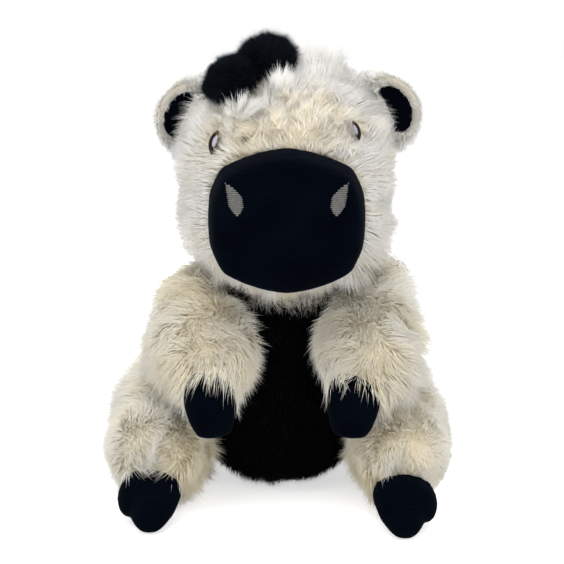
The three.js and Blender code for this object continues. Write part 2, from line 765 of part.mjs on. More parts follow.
// Arms with their stuffing and front hooves
for (const side of sides) {
  const joint = armJoint(side);
  const clearOfBody = (solid) => [bodyGeometry(swingGap), neckGeometry(swingGap)]
    .reduce((rest, fixed) => clearOf(rest, fixed, joint), solid);
  const outer = solidOf(armGeometry(side));
  const inner = solidOf(armGeometry(side, -furThickness, plain));
  const hoofInner = solidOf(frontHoofGeometry(side, -velourThickness, plain));
  const fill = solidOf(armGeometry(side, -furThickness - seamGap, plain))
    .add(solidOf(frontHoofGeometry(side, -velourThickness - seamGap, plain)));
  const cuff = solidOf(armGeometry(side, seamGap));
  const hoof = solidOf(frontHoofGeometry(side)).subtract(hoofInner).subtract(cuff);
  toy.add(
    pieceOf(`arm_cover_${side.name}`, clearOfBody(skinOf(outer, inner, hoofInner)), furCream),
    pieceOf(`arm_stuffing_${side.name}`, clearOfBody(fill), fibreFill),
    pieceOf(`front_hoof_${side.name}`, hoof, velourBlack),
  );
}

// Legs with their stuffing and cloven hind hooves
for (const side of sides) {
  const joint = legJoint(side);
  const clearOfBody = (solid) => clearOf(solid, bodyGeometry(swingGap), joint);
  const outer = onFloor(solidOf(legGeometry(side)));
  const inner = solidOf(legGeometry(side, -furThickness, plain));
  const hoofInner = hindHoofSolid(side, -velourThickness, plain);
  const fill = solidOf(legGeometry(side, -furThickness - seamGap, plain))
    .add(hindHoofSolid(side, -velourThickness - seamGap, plain));
  const cuff = solidOf(legGeometry(side, seamGap));
  const hoof = onFloor(hindHoofSolid(side)).subtract(hoofInner).subtract(cuff);
  toy.add(
    pieceOf(`leg_cover_${side.name}`, clearOfBody(skinOf(outer, inner, hoofInner)), furCream),
    pieceOf(`leg_stuffing_${side.name}`, clearOfBody(fill), fibreFill),
    pieceOf(`hind_hoof_${side.name}`, hoof, velourBlack),
  );
}

// Tail: a thin plush tube that curls to one side, with a dark tuft on its end
function tailJoint() {
  return { pivot: new THREE.Vector3(0, bodyDepth / 2, tuftThickness), axis: upward, ...tailSwing };
}
{
  const joint = tailJoint();
  const root = joint.pivot;
  const tailStationShares = [
    { back: -0.12, aside: 0, up: 1 },
    { back: 0.16, aside: 0.04, up: 0.95 },
    { back: 0.38, aside: 0.3, up: 0.7 },
    { back: 0.42, aside: 0.7, up: 0.56 },
  ];
  const stations = tailStationShares.map(({ back, aside, up }) => ({
    at: new THREE.Vector3(root.x + aside * tailLength, root.y + back * tailLength, root.z * up),
    half: [tailThickness / 2, tailThickness / 2],
  }));
  const tail = softGeometry({
    stations,
    capStart: tailThickness / 2,
    capEnd: tailThickness / 2,
    facets: hoofSides,
    across: upward,
  });
  const end = stations[stations.length - 1].at;
  const tuft = ovalGeometry(
    new THREE.Vector3(end.x + tuftLength / 3, end.y, tuftThickness / 2),
    new THREE.Vector3(tuftLength / 2, tuftThickness / 2, tuftThickness / 2),
  );
  const tailSolid = solidOf(tail);
  toy.add(
    pieceOf('tail', clearOf(tailSolid, bodyGeometry(swingGap), joint), furWhite),
    pieceOf('tail_tuft', solidOf(tuft).subtract(solidOf(ovalGeometry(
      end,
      new THREE.Vector3().setScalar(tailThickness / 2 + seamGap),
    ))).subtract(tailSolid), furBlack),
  );
}

// The origin is brought to the bottom centre of the whole toy.
const whole = new THREE.Box3().setFromObject(toy);
const middle = whole.getCenter(new THREE.Vector3());
toy.position.set(-middle.x, -middle.y, -whole.min.z);

export default toy;
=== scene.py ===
# Sitting plush cow: long white pile over stuffed forms, short black pile on the belly and the forelock,
# ribbed velour on the muzzle and hooves, satin stitches on the nostrils and eyes.
# Metres, +Z up. The toy faces -Y, so its own right side is -X.

import math

import bmesh
import bpy
import numpy as np
from mathutils import Matrix, Vector
from mathutils.bvhtree import BVHTree
from mathutils.kdtree import KDTree


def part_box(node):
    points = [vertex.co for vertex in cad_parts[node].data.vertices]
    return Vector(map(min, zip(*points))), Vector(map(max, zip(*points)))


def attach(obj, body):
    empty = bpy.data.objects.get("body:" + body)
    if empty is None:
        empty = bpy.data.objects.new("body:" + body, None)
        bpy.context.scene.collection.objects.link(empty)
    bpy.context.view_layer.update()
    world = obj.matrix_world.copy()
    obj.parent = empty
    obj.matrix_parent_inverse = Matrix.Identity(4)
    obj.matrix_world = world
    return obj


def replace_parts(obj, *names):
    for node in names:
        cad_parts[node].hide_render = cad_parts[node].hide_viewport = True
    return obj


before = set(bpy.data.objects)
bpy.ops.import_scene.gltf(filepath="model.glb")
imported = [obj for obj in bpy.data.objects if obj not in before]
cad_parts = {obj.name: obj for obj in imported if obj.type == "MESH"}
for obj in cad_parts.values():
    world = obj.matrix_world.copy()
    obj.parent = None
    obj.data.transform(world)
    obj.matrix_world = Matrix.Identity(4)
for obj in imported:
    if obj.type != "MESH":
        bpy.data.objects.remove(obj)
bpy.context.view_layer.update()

MM = 0.001
UP = np.array((0.0, 0.0, 1.0))
DOWN = -UP
AHEAD = np.array((0.0, -1.0, 0.0))
SIDES = {"right": -1, "left": 1}
WELD = 0.01 * MM
FLOOR_GAP = 0.5 * MM

# Length of the pile, and how far the form under it is drawn in from the solid
WHITE_PILE = 12.5 * MM
BELLY_PILE = 9.1 * MM
WHITE_SINK = 6.5 * MM
LIMB_SINK = 5.5 * MM
NECK_SINK = 4 * MM
THIN_SHARE = 0.42

# Half the width of a strand.
STRAND_WIDTH = 0.15 * MM
WISP_WIDTH = 0.1 * MM
density_share = 1.0
width_share = 1 / math.sqrt(density_share)


def centre_of(node):
    low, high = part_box(node)
    return np.array((low + high) / 2)


head_centre = centre_of("head_cover")
muzzle_centre = centre_of("muzzle_cover")


# Materials
def new_material(name, finish):
    """An empty node material with this finish, a maker of linked nodes and a linker to the shader."""
    material = bpy.data.materials.new(name)
    material.use_nodes = True
    nodes = material.node_tree.nodes
    shader = nodes["Principled BSDF"]
    for socket, value in finish.items():
        shader.inputs[socket].default_value = value

    def add(kind, inputs=None, **settings):
        node = nodes.new(kind)
        for key, value in settings.items():
            setattr(node, key, value)
        for key, value in (inputs or {}).items():
            if isinstance(value, bpy.types.NodeSocket):
                material.node_tree.links.new(value, node.inputs[key])
            else:
                node.inputs[key].default_value = value
        return node

    def link(output, socket):
        material.node_tree.links.new(output, shader.inputs[socket])

    return material, add, link


def ramp(add, factor, stops):
    """A colour ramp on a factor, through (place, colour) stops."""
    node = add("ShaderNodeValToRGB", {"Fac": factor})
    elements = node.color_ramp.elements
    while len(elements) < len(stops):
        elements.new(0.5)
    for element, (place, colour) in zip(elements, stops):
        element.position = place
        element.color = (*colour, 1)
    return node.outputs["Color"]


PILE_STOPS = (0.0, 0.45, 1.0)


def pile_material(name, shade, light):
    """Pile whose colour runs from root to tip, and from the shade tones to the light ones by the
    strand's tone. The darker roots are partly the pile's own colour and partly painted shade deep in
    the pile. shade and light each give (root, middle, tip)."""
    material, add, link = new_material(name, {"Roughness": 0.85, "Specular IOR Level": 0.03})
    layout = add("ShaderNodeUVMap", uv_map="OFBake")
    parts = add("ShaderNodeSeparateXYZ", {"Vector": layout.outputs["UV"]})
    along = parts.outputs["Y"]
    dark = ramp(add, along, list(zip(PILE_STOPS, shade)))
    pale = ramp(add, along, list(zip(PILE_STOPS, light)))
    mix = add("ShaderNodeMix", {"Factor": parts.outputs["X"]}, data_type="RGBA")
    for output, socket in ((dark, mix.inputs[6]), (pale, mix.inputs[7])):
        material.node_tree.links.new(output, socket)
    link(mix.outputs[2], "Base Color")
    return material


def backing_material(name, colour, deep):
    """The knitted backing that the pile grows from."""
    material, add, link = new_material(name, {"Roughness": 0.95})
    place = add("ShaderNodeTexCoord").outputs["Object"]
    knit = add("ShaderNodeTexVoronoi", {"Vector": place, "Scale": 900.0})
    link(ramp(add, knit.outputs["Distance"], [(0.0, deep), (1.0, colour)]), "Base Color")
    bump = add("ShaderNodeBump", {"Strength": 0.4, "Distance": 0.2 * MM, "Height": knit.outputs["Distance"]})
    link(bump.outputs["Normal"], "Normal")
    return material


RIB_PITCH = 1.6 * MM
RIB_WAVER = 0.6 * MM
VELOUR_FINISH = {
    "Roughness": 0.95, "Specular IOR Level": 0.01,
    "Sheen Weight": 0.01, "Sheen Roughness": 0.5, "Sheen Tint": (0.6, 0.8, 1.0, 1),
}


def velour_material(name, deep, light):
    """Short ribbed velour: fine level ribs, a soft nap that catches light, and softly lighter blotches."""
    material, add, link = new_material(name, VELOUR_FINISH)
    place = add("ShaderNodeTexCoord").outputs["Object"]
    waver = add("ShaderNodeTexNoise", {"Vector": place, "Scale": 120.0, "Detail": 2.0})
    bent = add("ShaderNodeVectorMath", {1: (RIB_WAVER,) * 3}, operation="MULTIPLY")
    material.node_tree.links.new(waver.outputs["Color"], bent.inputs[0])
    moved = add("ShaderNodeVectorMath", {0: place, 1: bent.outputs["Vector"]}, operation="ADD")
    rib = add(
        "ShaderNodeTexWave", {"Vector": moved.outputs["Vector"], "Scale": math.pi / (10 * RIB_PITCH)},
        bands_direction="Z",
    )
    nap = add("ShaderNodeTexNoise", {"Vector": place, "Scale": 2500.0, "Detail": 3.0})
    blotch = add("ShaderNodeTexNoise", {"Vector": place, "Scale": 60.0, "Detail": 3.0})
    relief = add("ShaderNodeMath", {0: rib.outputs["Fac"], 1: nap.outputs["Fac"]}, operation="ADD")
    tone = add("ShaderNodeMath", {0: rib.outputs["Fac"], 1: 0.2}, operation="MULTIPLY")
    spread = add("ShaderNodeMath", {0: tone.outputs["Value"], 1: blotch.outputs["Fac"]}, operation="ADD")
    link(ramp(add, spread.outputs["Value"], [(0.3, deep), (0.95, light)]), "Base Color")
    bump = add("ShaderNodeBump", {"Strength": 0.5, "Distance": 0.1 * MM, "Height": relief.outputs["Value"]})
    link(bump.outputs["Normal"], "Normal")
    return material


def thread_material(name, deep, light, shine):
    """Rayon thread: a soft shine and a small change of tone from stitch to stitch."""
    material, add, link = new_material(name, {"Roughness": 0.5, "Specular IOR Level": shine})
    place = add("ShaderNodeTexCoord").outputs["Object"]
    tone = add("ShaderNodeTexNoise", {"Vector": place, "Scale": 1500.0, "Detail": 1.0})
    link(ramp(add, tone.outputs["Fac"], [(0.35, deep), (0.65, light)]), "Base Color")
    bump = add("ShaderNodeBump", {"Strength": 0.3, "Distance": 0.05 * MM, "Height": tone.outputs["Fac"]})
    link(bump.outputs["Normal"], "Normal")
    return material


white_pile = pile_material(
    "white pile",
    shade=((0.92, 0.75, 0.47), (0.93, 0.82, 0.6), (0.945, 0.885, 0.75)),
    light=((0.95, 0.925, 0.86), (0.965, 0.957, 0.935), (0.975, 0.972, 0.96)),
)
cream_pile = pile_material(
    "cream pile",
    shade=((0.92, 0.75, 0.45), (0.935, 0.83, 0.6), (0.95, 0.89, 0.74)),
    light=((0.94, 0.86, 0.67), (0.965, 0.93, 0.83), (0.975, 0.965, 0.92)),
)
# Its tan shade tones colour the painted shade in the brow's creases and above the muzzle.
brow_pile = pile_material(
    "brow pile",
    shade=((0.88, 0.66, 0.38), (0.92, 0.77, 0.5), (0.94, 0.85, 0.66)),
    light=((0.95, 0.9, 0.78), (0.965, 0.94, 0.87), (0.975, 0.965, 0.93)),
)
black_pile = pile_material(
    "black pile",
    shade=((0.0004, 0.0004, 0.0006), (0.0008, 0.0009, 0.0012), (0.002, 0.0021, 0.0028)),
    light=((0.0006, 0.0007, 0.0009), (0.002, 0.0023, 0.003), (0.007, 0.0075, 0.009)),
)
forelock_pile = pile_material(
    "forelock pile",
    shade=((0.001, 0.0014, 0.002), (0.002, 0.003, 0.0045), (0.004, 0.0065, 0.01)),
    light=((0.001, 0.0016, 0.0024), (0.004, 0.006, 0.009), (0.012, 0.018, 0.027)),
)
# The white backing's warm cream, seen between the strands, is partly painted warm shade deep in the pile.
white_backing = backing_material("white backing", (0.94, 0.87, 0.7), (0.9, 0.8, 0.6))
black_backing = backing_material("black backing", (0.003, 0.003, 0.004), (0.001, 0.001, 0.001))
black_velour = velour_material("black velour", (0.0002, 0.0006, 0.0022), (0.0012, 0.0024, 0.0052))
hoof_velour = velour_material("hoof velour", (0.0003, 0.0007, 0.0022), (0.0013, 0.0026, 0.0054))
silver_thread = thread_material("silver thread", (0.09, 0.088, 0.084), (0.14, 0.137, 0.131), shine=0.3)
pupil_thread = thread_material("pupil thread", (0.002, 0.0015, 0.001), (0.007, 0.004, 0.003), shine=0.05)
iris_thread = thread_material("iris thread", (0.02, 0.008, 0.004), (0.08, 0.03, 0.012), shine=0.2)
rim_thread = thread_material("rim thread", (0.12, 0.08, 0.03), (0.26, 0.19, 0.09), shine=0.2)
glint_thread = thread_material("glint thread", (0.36, 0.34, 0.4), (0.52, 0.5, 0.57), shine=0.2)


# Shapes
def linked(name, mesh, body, slot, *materials):
    """A finished piece: its mesh in place, riding on a body."""
    piece = bpy.data.objects.new(name, mesh)
    bpy.context.scene.collection.objects.link(piece)
    mesh.materials.clear()
    for material in materials:
        mesh.materials.append(material)
    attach(piece, body)
    return piece


def corners_of(node):
    return [tuple(v.co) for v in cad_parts[node].data.vertices]


def hull_of(corners):
    """The tight skin round some points."""
    shape = bmesh.new()
    for corner in corners:
        shape.verts.new(corner)
    bmesh.ops.remove_doubles(shape, verts=shape.verts, dist=WELD)
    found = bmesh.ops.convex_hull(shape, input=shape.verts)
    spare = {v for v in found["geom_interior"] + found["geom_unused"] if isinstance(v, bmesh.types.BMVert)}
    bmesh.ops.delete(shape, geom=list(spare), context="VERTS")
    return shape


def joined(*nodes):
    """The solids of these CAD nodes in one bmesh."""
    shape = bmesh.new()
    for node in nodes:
        shape.from_mesh(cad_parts[node].data)
    bmesh.ops.remove_doubles(shape, verts=shape.verts, dist=WELD)
    return shape


def places_of(mesh):
    found = np.empty(len(mesh.vertices) * 3, np.float32)
    mesh.vertices.foreach_get("co", found)
    return found.reshape(-1, 3).astype(float)


def normals_of(mesh):
    found = np.empty(len(mesh.vertices) * 3, np.float32)
    mesh.vertex_normals.foreach_get("vector", found)
    return found.reshape(-1, 3).astype(float)


def set_places(mesh, places):
    mesh.vertices.foreach_set("co", places.astype(np.float32).ravel())
    mesh.update()


def tree_of_shape(shape):
    tree = BVHTree.FromBMesh(shape)
    shape.free()
    return tree


def tree_of(mesh):
    shape = bmesh.new()
    shape.from_mesh(mesh)
    return tree_of_shape(shape)


def wall_under(tree, place, facing):
    """How thick a closed form is under a place on its surface, or None where nothing is met."""
    return tree.ray_cast(Vector(place - facing * WELD), Vector(-facing))[3]


def stuffed(shape, voxel, passes, sink=0.0):
    """An even, smooth mesh of a shape, drawn in on all sides by sink, or by less where it is thin."""
    mesh = bpy.data.meshes.new("form")
    shape.to_mesh(mesh)
    shape.free()
    holder = bpy.data.objects.new("form", mesh)
    bpy.context.scene.collection.objects.link(holder)
    even = holder.modifiers.new("Even", "REMESH")
    even.mode = "VOXEL"
    even.voxel_size = voxel
    soft = holder.modifiers.new("Soft", "SMOOTH")
    soft.factor = 0.5
    soft.iterations = passes
    finer = holder.modifiers.new("Round", "SUBSURF")
    finer.levels = finer.render_levels = 1
    graph = bpy.context.evaluated_depsgraph_get()
    done = bpy.data.meshes.new_from_object(holder.evaluated_get(graph))
    bpy.data.objects.remove(holder)
    done.polygons.foreach_set("use_smooth", [True] * len(done.polygons))
    if sink:
        places, facing = places_of(done), normals_of(done)
        tree = tree_of(done)
        walls = [wall_under(tree, place, way) for place, way in zip(places, facing)]
        depth = np.array([sink if wall is None else min(sink, wall * THIN_SHARE) for wall in walls])
        set_places(done, places - facing * depth[:, None])
    return done


def depth_in(tree, places):
    """How deep each point lies in a closed form. It is below zero outside."""
    depths = np.empty(len(places))
    for index, place in enumerate(places):
        near, normal, _, distance = tree.find_nearest(Vector(place))
        depths[index] = distance if (Vector(place) - near).dot(normal) < 0 else -distance
    return depths


# Pile
STRAND_SIDES = 3
STATION_WELD = 0.001


def strand_shape(stations):
    """One strand, of length and half width 1: a three-sided tube along Z through (height, width)
    stations, closed to a point at both ends."""
    shape = bmesh.new()
    for (low, wide), (high, next_wide) in zip(stations, stations[1:]):
        bmesh.ops.create_cone(
            shape, segments=STRAND_SIDES, radius1=wide, radius2=next_wide, depth=high - low,
            matrix=Matrix.Translation((0, 0, (low + high) / 2)),
        )
    bmesh.ops.remove_doubles(shape, verts=shape.verts, dist=STATION_WELD)
    bmesh.ops.triangulate(shape, faces=shape.faces)
    bmesh.ops.recalc_face_normals(shape, faces=shape.faces)
    shape.verts.index_update()
    corners = np.array([v.co for v in shape.verts])
    faces = np.array([[v.index for v in face.verts] for face in shape.faces])
    shape.free()
    return corners, faces


PLAIN_STRAND = strand_shape([(0, 0), (0.45, 1), (1, 0)])
CURLED_STRAND = strand_shape([(0, 0), (0.35, 1), (0.7, 0.8), (1, 0)])


def unit(vectors):
    return vectors / np.maximum(np.linalg.norm(vectors, axis=-1, keepdims=True), 1e-9)


def along_surface(vectors, facing):
    return unit(vectors - (vectors * facing).sum(1, keepdims=True) * facing)


WANDER_WAVES = 9
WAVE_RANGE = (0.6, 1.4)


def wander(places, size, seed):
    """A smooth random field from -1 to 1 over space, whose lumps are about size across."""
    rng = np.random.default_rng(seed)
    total = np.zeros(len(places))
    for _ in range(WANDER_WAVES):
        wave = rng.normal(size=3)
        wave *= rng.uniform(*WAVE_RANGE) * math.pi / size / np.linalg.norm(wave)
        total += np.sin(places @ wave + rng.uniform(0, 2 * math.pi))
    return np.clip(total / math.sqrt(WANDER_WAVES), -1, 1)


def roots_on(mesh, per_mm2, rng):
    """Even random places on a mesh, and the way that each faces."""
    mesh.calc_loop_triangles()
    triangles = np.empty(len(mesh.loop_triangles) * 3, np.int32)
    mesh.loop_triangles.foreach_get("vertices", triangles)
    triangles = triangles.reshape(-1, 3)
    corners = places_of(mesh)[triangles]
    normals = normals_of(mesh)[triangles]
    across = np.cross(corners[:, 1] - corners[:, 0], corners[:, 2] - corners[:, 0])
    area = np.linalg.norm(across, axis=1) / 2
    count = int(area.sum() / MM**2 * per_mm2)
    steps = (np.arange(count) + rng.random(count)) / count
    chosen = np.searchsorted(np.cumsum(area) / area.sum(), steps).clip(0, len(area) - 1)
    first, second = np.sqrt(rng.random(count)), rng.random(count)
    weights = np.stack([1 - first, first * (1 - second), first * second], 1)[:, :, None]
    return (corners[chosen] * weights).sum(1), unit((normals[chosen] * weights).sum(1))


def lifted(points, forms, gap):
    """The points, moved out of any of the closed forms that they lie in."""
    for tree in forms:
        for index, point in enumerate(points):
            near, normal, _, _ = tree.find_nearest(Vector(point))
            if (Vector(point) - near).dot(normal) < gap:
                points[index] = near + normal * gap
    return points


def nearest_of(places, centres):
    """The number of the nearest centre to each place."""
    tree = KDTree(len(centres))
    for index, centre in enumerate(centres):
        tree.insert(centre, index)
    tree.balance()
    return np.array([tree.find(place)[1] for place in places])


# A direction that no strand quite has, and how the strands fill their map, clear of its edges
NEAR_UP = UP + 0.01
TONE_STEP = 0.004
TONE_RANGE = (0.02, 0.98)
MAP_FOOT = 0.01
MAP_HEIGHT = 0.98


def laid(name, strand, root, middle, tip, width, tone):
    """A mesh of strands, each bent along a curve from its root past its middle to its tip. The map
    OFBake holds the strand's tone across, and the share of its length up."""
    corners, faces = strand
    share = corners[:, 2][None, :, None]
    chord = unit(tip - root)
    side = unit(np.cross(chord, NEAR_UP))
    other = np.cross(chord, side)
    path = (1 - share) ** 2 * root[:, None] + 2 * share * (1 - share) * middle[:, None]
    path = path + share**2 * tip[:, None]
    spread = corners[:, 0][None, :, None] * side[:, None] + corners[:, 1][None, :, None] * other[:, None]
    places = path + spread * width[:, None, None]
    count, each = len(root), len(corners)
    loops = (np.arange(count)[:, None, None] * each + faces[None]).reshape(-1)
    mesh = bpy.data.meshes.new(name)
    mesh.vertices.add(count * each)
    mesh.vertices.foreach_set("co", places.astype(np.float32).ravel())
    mesh.loops.add(len(loops))
    mesh.loops.foreach_set("vertex_index", loops.astype(np.int32))
    mesh.polygons.add(count * len(faces))
    mesh.polygons.foreach_set("loop_start", np.arange(0, len(loops), 3, dtype=np.int32))
    mesh.polygons.foreach_set("use_smooth", np.ones(count * len(faces), bool))
    across = tone.clip(*TONE_RANGE)[:, None] + corners[:, 0][None] * TONE_STEP
    up = np.broadcast_to(MAP_FOOT + MAP_HEIGHT * corners[:, 2], across.shape)
    layout = np.stack([across, up], 2).reshape(-1, 2)[loops]
    mesh.uv_layers.new(name="OFBake").uv.foreach_set("vector", layout.astype(np.float32).ravel())
    mesh.update(calc_edges=True)
    return mesh


# How the strands of one coat differ from each other
COMB_SCATTER = 0.02
LEAN_WANDER = 0.25
LEAN_LUMP = 0.7
LENGTH_WANDER = 0.12
LENGTH_LUMP = 9 * MM
LENGTH_RANGE = (0.78, 1.1)
WIDTH_RANGE = (0.75, 1.25)
GATHER_RANGE = (0.5, 1.1)
TUFT_TONE = 0.07
STRAND_TONE = 0.05
PLAIN_TONE = 0.6
SMALL_TUFT = 0.36
LARGE_PULL = 0.6
TUFT_SPREAD = 0.3
LENGTH_KEPT = 0.5
BEND_BACK = 0.4
ROOT_DEPTH = 0.4 * MM
FLOOR_SCATTER = 0.5 * MM

# Strands that would lie deeper than this in a form are left out, and the others lie this far off it
MIDDLE_DEPTH = 1.6 * MM
TIP_DEPTH = 4 * MM
MIDDLE_GAP = 0.8 * MM
TIP_GAP = 1.0 * MM


def clear_of(forms, root, middle, tip, tone):
    """The strands that lie on these closed forms and not in them, with their middles and tips lifted."""
    clear = np.full(len(root), True)
    for tree in forms:
        clear &= (depth_in(tree, middle) < MIDDLE_DEPTH) & (depth_in(tree, tip) < TIP_DEPTH)
    root, middle, tip, tone = root[clear], middle[clear], tip[clear], tone[clear]
    middle, tip = lifted(middle, forms, MIDDLE_GAP), lifted(tip, forms, TIP_GAP)
    clear = np.full(len(root), True)
    for tree in forms:
        bend = root * 0.2 + middle * 0.5 + tip * 0.3
        clear &= (depth_in(tree, bend) < 0) & (depth_in(tree, (middle + tip) / 2) < 0)
    return root[clear], middle[clear], tip[clear], tone[clear]


def grown(
    name, mesh, *, seed, per_mm2, length, comb, lean=50, swirl=30, swirl_size=14 * MM, clump=9 * MM,
    pull=0.5, curl=0.2, keep=None, trim=None, tone=PLAIN_TONE, width=STRAND_WIDTH, strand=PLAIN_STRAND,
    loose=0.12, over=(), even=None,
):
    """Pile on a mesh. comb(places) gives the way that it is brushed, lean how far it lies over, in
    degrees, keep(places, facing) which roots grow, trim(places) the share of its length that is left,
    tone how light it is from 0 to 1, even(places) how little it gathers into tufts, and over the forms
    that it lies on. lean and tone are numbers or rules of the places."""
    rng = np.random.default_rng(seed)
    root, facing = roots_on(mesh, per_mm2 * density_share, rng)
    if keep is not None:
        kept = keep(root, facing)
        root, facing = root[kept], facing[kept]
    count = len(root)
    flow = along_surface(comb(root) + rng.normal(scale=COMB_SCATTER, size=(count, 3)), facing)
    turn = np.radians(swirl) * wander(root, swirl_size, seed + 1)[:, None]
    flow = flow * np.cos(turn) + np.cross(facing, flow) * np.sin(turn)
    slope = lean(root) if callable(lean) else lean
    tilt = np.radians(slope * (1 + LEAN_WANDER * wander(root, swirl_size * LEAN_LUMP, seed + 2)))[:, None]
    heading = facing * np.cos(tilt) + flow * np.sin(tilt)
    reach = length * (1 + LENGTH_WANDER * wander(root, LENGTH_LUMP, seed + 3))
    reach = reach * rng.uniform(*LENGTH_RANGE, count)
    if trim is not None:
        reach = reach * trim(root)
    reach = reach[:, None]
    tip = root + heading * reach
    # Halfway up, a strand still stands more upright than its tip.
    middle = root + (facing * 0.55 + heading * 0.45) * reach * 0.5

    # Strands gather into large and small tufts, and each tuft bends its own way.
    rough = 1 - even(root)[:, None] if even is not None else np.ones((count, 1))
    shade = tone(root) if callable(tone) else np.full(count, float(tone))
    for size, strength in ((clump, pull * LARGE_PULL), (clump * SMALL_TUFT, pull)):
        tufts = max(8, int(count / (per_mm2 * density_share) * MM**2 / size**2))
        centres = rng.choice(count, min(tufts, count), replace=False)
        tuft = nearest_of(root, root[centres])
        lead = centres[tuft]
        gather = strength * rough * rng.uniform(*GATHER_RANGE, (count, 1))
        target = tip[lead] + (root - root[lead]) * TUFT_SPREAD
        target = target + heading * (reach - reach[lead]) * LENGTH_KEPT
        tip = tip + (target - tip) * gather
        bends = along_surface(rng.normal(size=(len(centres), 3)), heading[centres]) * curl * size / clump
        tip = tip + bends[tuft] * rough * reach
        middle = middle - bends[tuft] * rough * reach * BEND_BACK
        shade = shade + TUFT_TONE * rng.normal(size=len(centres))[tuft]
    tip = tip + rng.normal(scale=loose / 2, size=(count, 3)) * reach
    root = root - facing * ROOT_DEPTH
    root, middle, tip, shade = clear_of(over, root, middle, tip, shade)

    # Nothing reaches below the floor, and the lowest strands end at uneven heights.
    count = len(root)
    root[:, 2] = np.maximum(root[:, 2], FLOOR_GAP)
    for points in (middle, tip):
        low = FLOOR_GAP + np.abs(rng.normal(scale=FLOOR_SCATTER, size=count))
        points[:, 2] = np.maximum(points[:, 2], low)
    shade = shade + rng.normal(scale=STRAND_TONE, size=count)
    thickness = width * width_share * rng.uniform(*WIDTH_RANGE, count)
    return laid(name, strand, root, middle, tip, thickness, shade)


def coat(name, form, body, slot, material, **growth):
    """A finished coat of pile on a form, riding on a body."""
    return linked(name, grown(name, form, **growth), body, slot, material)


# Where things are on the toy
def height(places):
    return places[:, 2]


def aside(places):
    """How far each place is from the middle, to either side."""
    return np.abs(places[:, 0])


def rise(values, start, end):
    """From 0 at start to 1 at end, both in millimetres, and level beyond them."""
    return np.clip((values - start * MM) / ((end - start) * MM), 0, 1)


def band(values, middle, half, crest=1.0):
    """From crest, cut off at 1, in a band's middle to 0 outside it. middle and half are in millimetres."""
    return np.clip(crest - np.abs(values - middle * MM) / (half * MM), 0, 1)


def distance_to(tree, places):
    return np.array([tree.find_nearest(Vector(place))[3] for place in places])


def near_spots(places, spots, crest=1.0):
    """From crest, cut off at 1, in a spot's middle to 0 outside it. Each spot is a place and a reach,
    in millimetres."""
    return np.max([
        np.clip(crest - np.linalg.norm(places - np.array(spot) * MM, axis=1) / (reach * MM), 0, 1)
        for *spot, reach in spots
    ], axis=0)


def patch(heights, sides):
    """The rule of an area: how much each place belongs to it, from 0 to 1. It rises from the first
    to the second of the heights, and likewise of the distances to either side."""
    return lambda places: rise(height(places), *heights) * rise(aside(places), *sides)


def brushed(*way):
    """Pile that is brushed the same way everywhere."""
    return lambda places: np.broadcast_to(way, places.shape)


SEAT_HALF_WIDTH = 33 * MM
SEAT_RISE = 22 * MM


def round_seat(mesh):
    """Rounds the underside up towards both sides, so that the belly meets the floor on a narrow round."""
    places = places_of(mesh)
    across = np.clip(aside(places) / SEAT_HALF_WIDTH, 0, 1)
    front = rise(places[:, 1], 60, 0)
    low = 1 - rise(height(places), 0, 45)
    places[:, 2] += SEAT_RISE * (1 - np.sqrt(1 - across**2)) * front * low
    set_places(mesh, places)


# Stuffed forms under the pile
BODY_NODES = ("body_back_panel", "belly_panel", "back_patch")
head_form = stuffed(hull_of(corners_of("head_cover")), voxel=4 * MM, passes=10, sink=WHITE_SINK)
body_corners = [corner for node in BODY_NODES for corner in corners_of(node)]
body_form = stuffed(hull_of(body_corners), voxel=4 * MM, passes=10, sink=WHITE_SINK)
round_seat(body_form)
neck_form = stuffed(hull_of(corners_of("neck_cover")), voxel=4 * MM, passes=6, sink=NECK_SINK)


def stuffed_piece(name, mesh, body, slot, material, fill, *nodes):
    """A finished stuffed piece that stands for these CAD nodes."""
    piece = linked(name, mesh, body, slot, material)
    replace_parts(piece, *nodes)


# Muzzle: its skin is taken back into the head, so that no gap shows behind its rim
MUZZLE_BACK = np.array((0.0, 7 * MM, 0.0))
muzzle_corners = [np.array(c) for c in corners_of("muzzle_cover")]
muzzle_shape = hull_of([tuple(c) for c in muzzle_corners] + [tuple(c + MUZZLE_BACK) for c in muzzle_corners])
muzzle_form = stuffed(muzzle_shape, voxel=2.2 * MM, passes=9)
muzzle_tree, body_tree, head_tree = (tree_of(form) for form in (muzzle_form, body_form, head_form))

stuffed_piece("muzzle", muzzle_form, "head", "velour_black", black_velour, 0.8, "muzzle_cover")
stuffed_piece("head_skin", head_form, "head", "fur_white", white_backing, 0.8, "head_cover", "head_stuffing")
stuffed_piece(
    "body_skin", body_form, "body", "fur_white", white_backing, 0.7,
    *BODY_NODES, "body_stuffing", "pellet_pouch",
)
body_form.materials.append(black_backing)
stuffed_piece("neck_skin", neck_form, "neck", "fur_white", white_backing, 0.8, "neck_cover", "neck_stuffing")
limb_forms = {}
for side in SIDES:
    for limb in ("arm", "leg"):
        parts = f"{limb}_cover_{side}", f"{limb}_stuffing_{side}"
        form = stuffed(joined(*parts), voxel=3 * MM, passes=8, sink=LIMB_SINK)
        stuffed_piece(f"{limb}_skin_{side}", form, f"{limb}_{side}", "fur_cream", white_backing, 0.7, *parts)
        limb_forms[f"{limb}_{side}"] = form


# Head pile. Each at_ rule gives how much each place belongs to an area, from 0 to 1.
EYE_OUT = 2.6 * MM
EYE_BACK = 0.9 * MM
EYE_DROP = {"right": 1.2 * MM, "left": -0.8 * MM}
EYE_CLEAR = 4.5 * MM
EYE_FADE = 10 * MM
MUZZLE_FADE = 8 * MM
MUZZLE_LAP = 0.5 * MM
HALVES_MEET = 2 * MM
AREA_RIM = 0.15
eye_centres = {
    side: centre_of(f"eye_{side}") + np.array((SIDES[side] * EYE_OUT, EYE_BACK, -EYE_DROP[side]))
    for side in SIDES
}


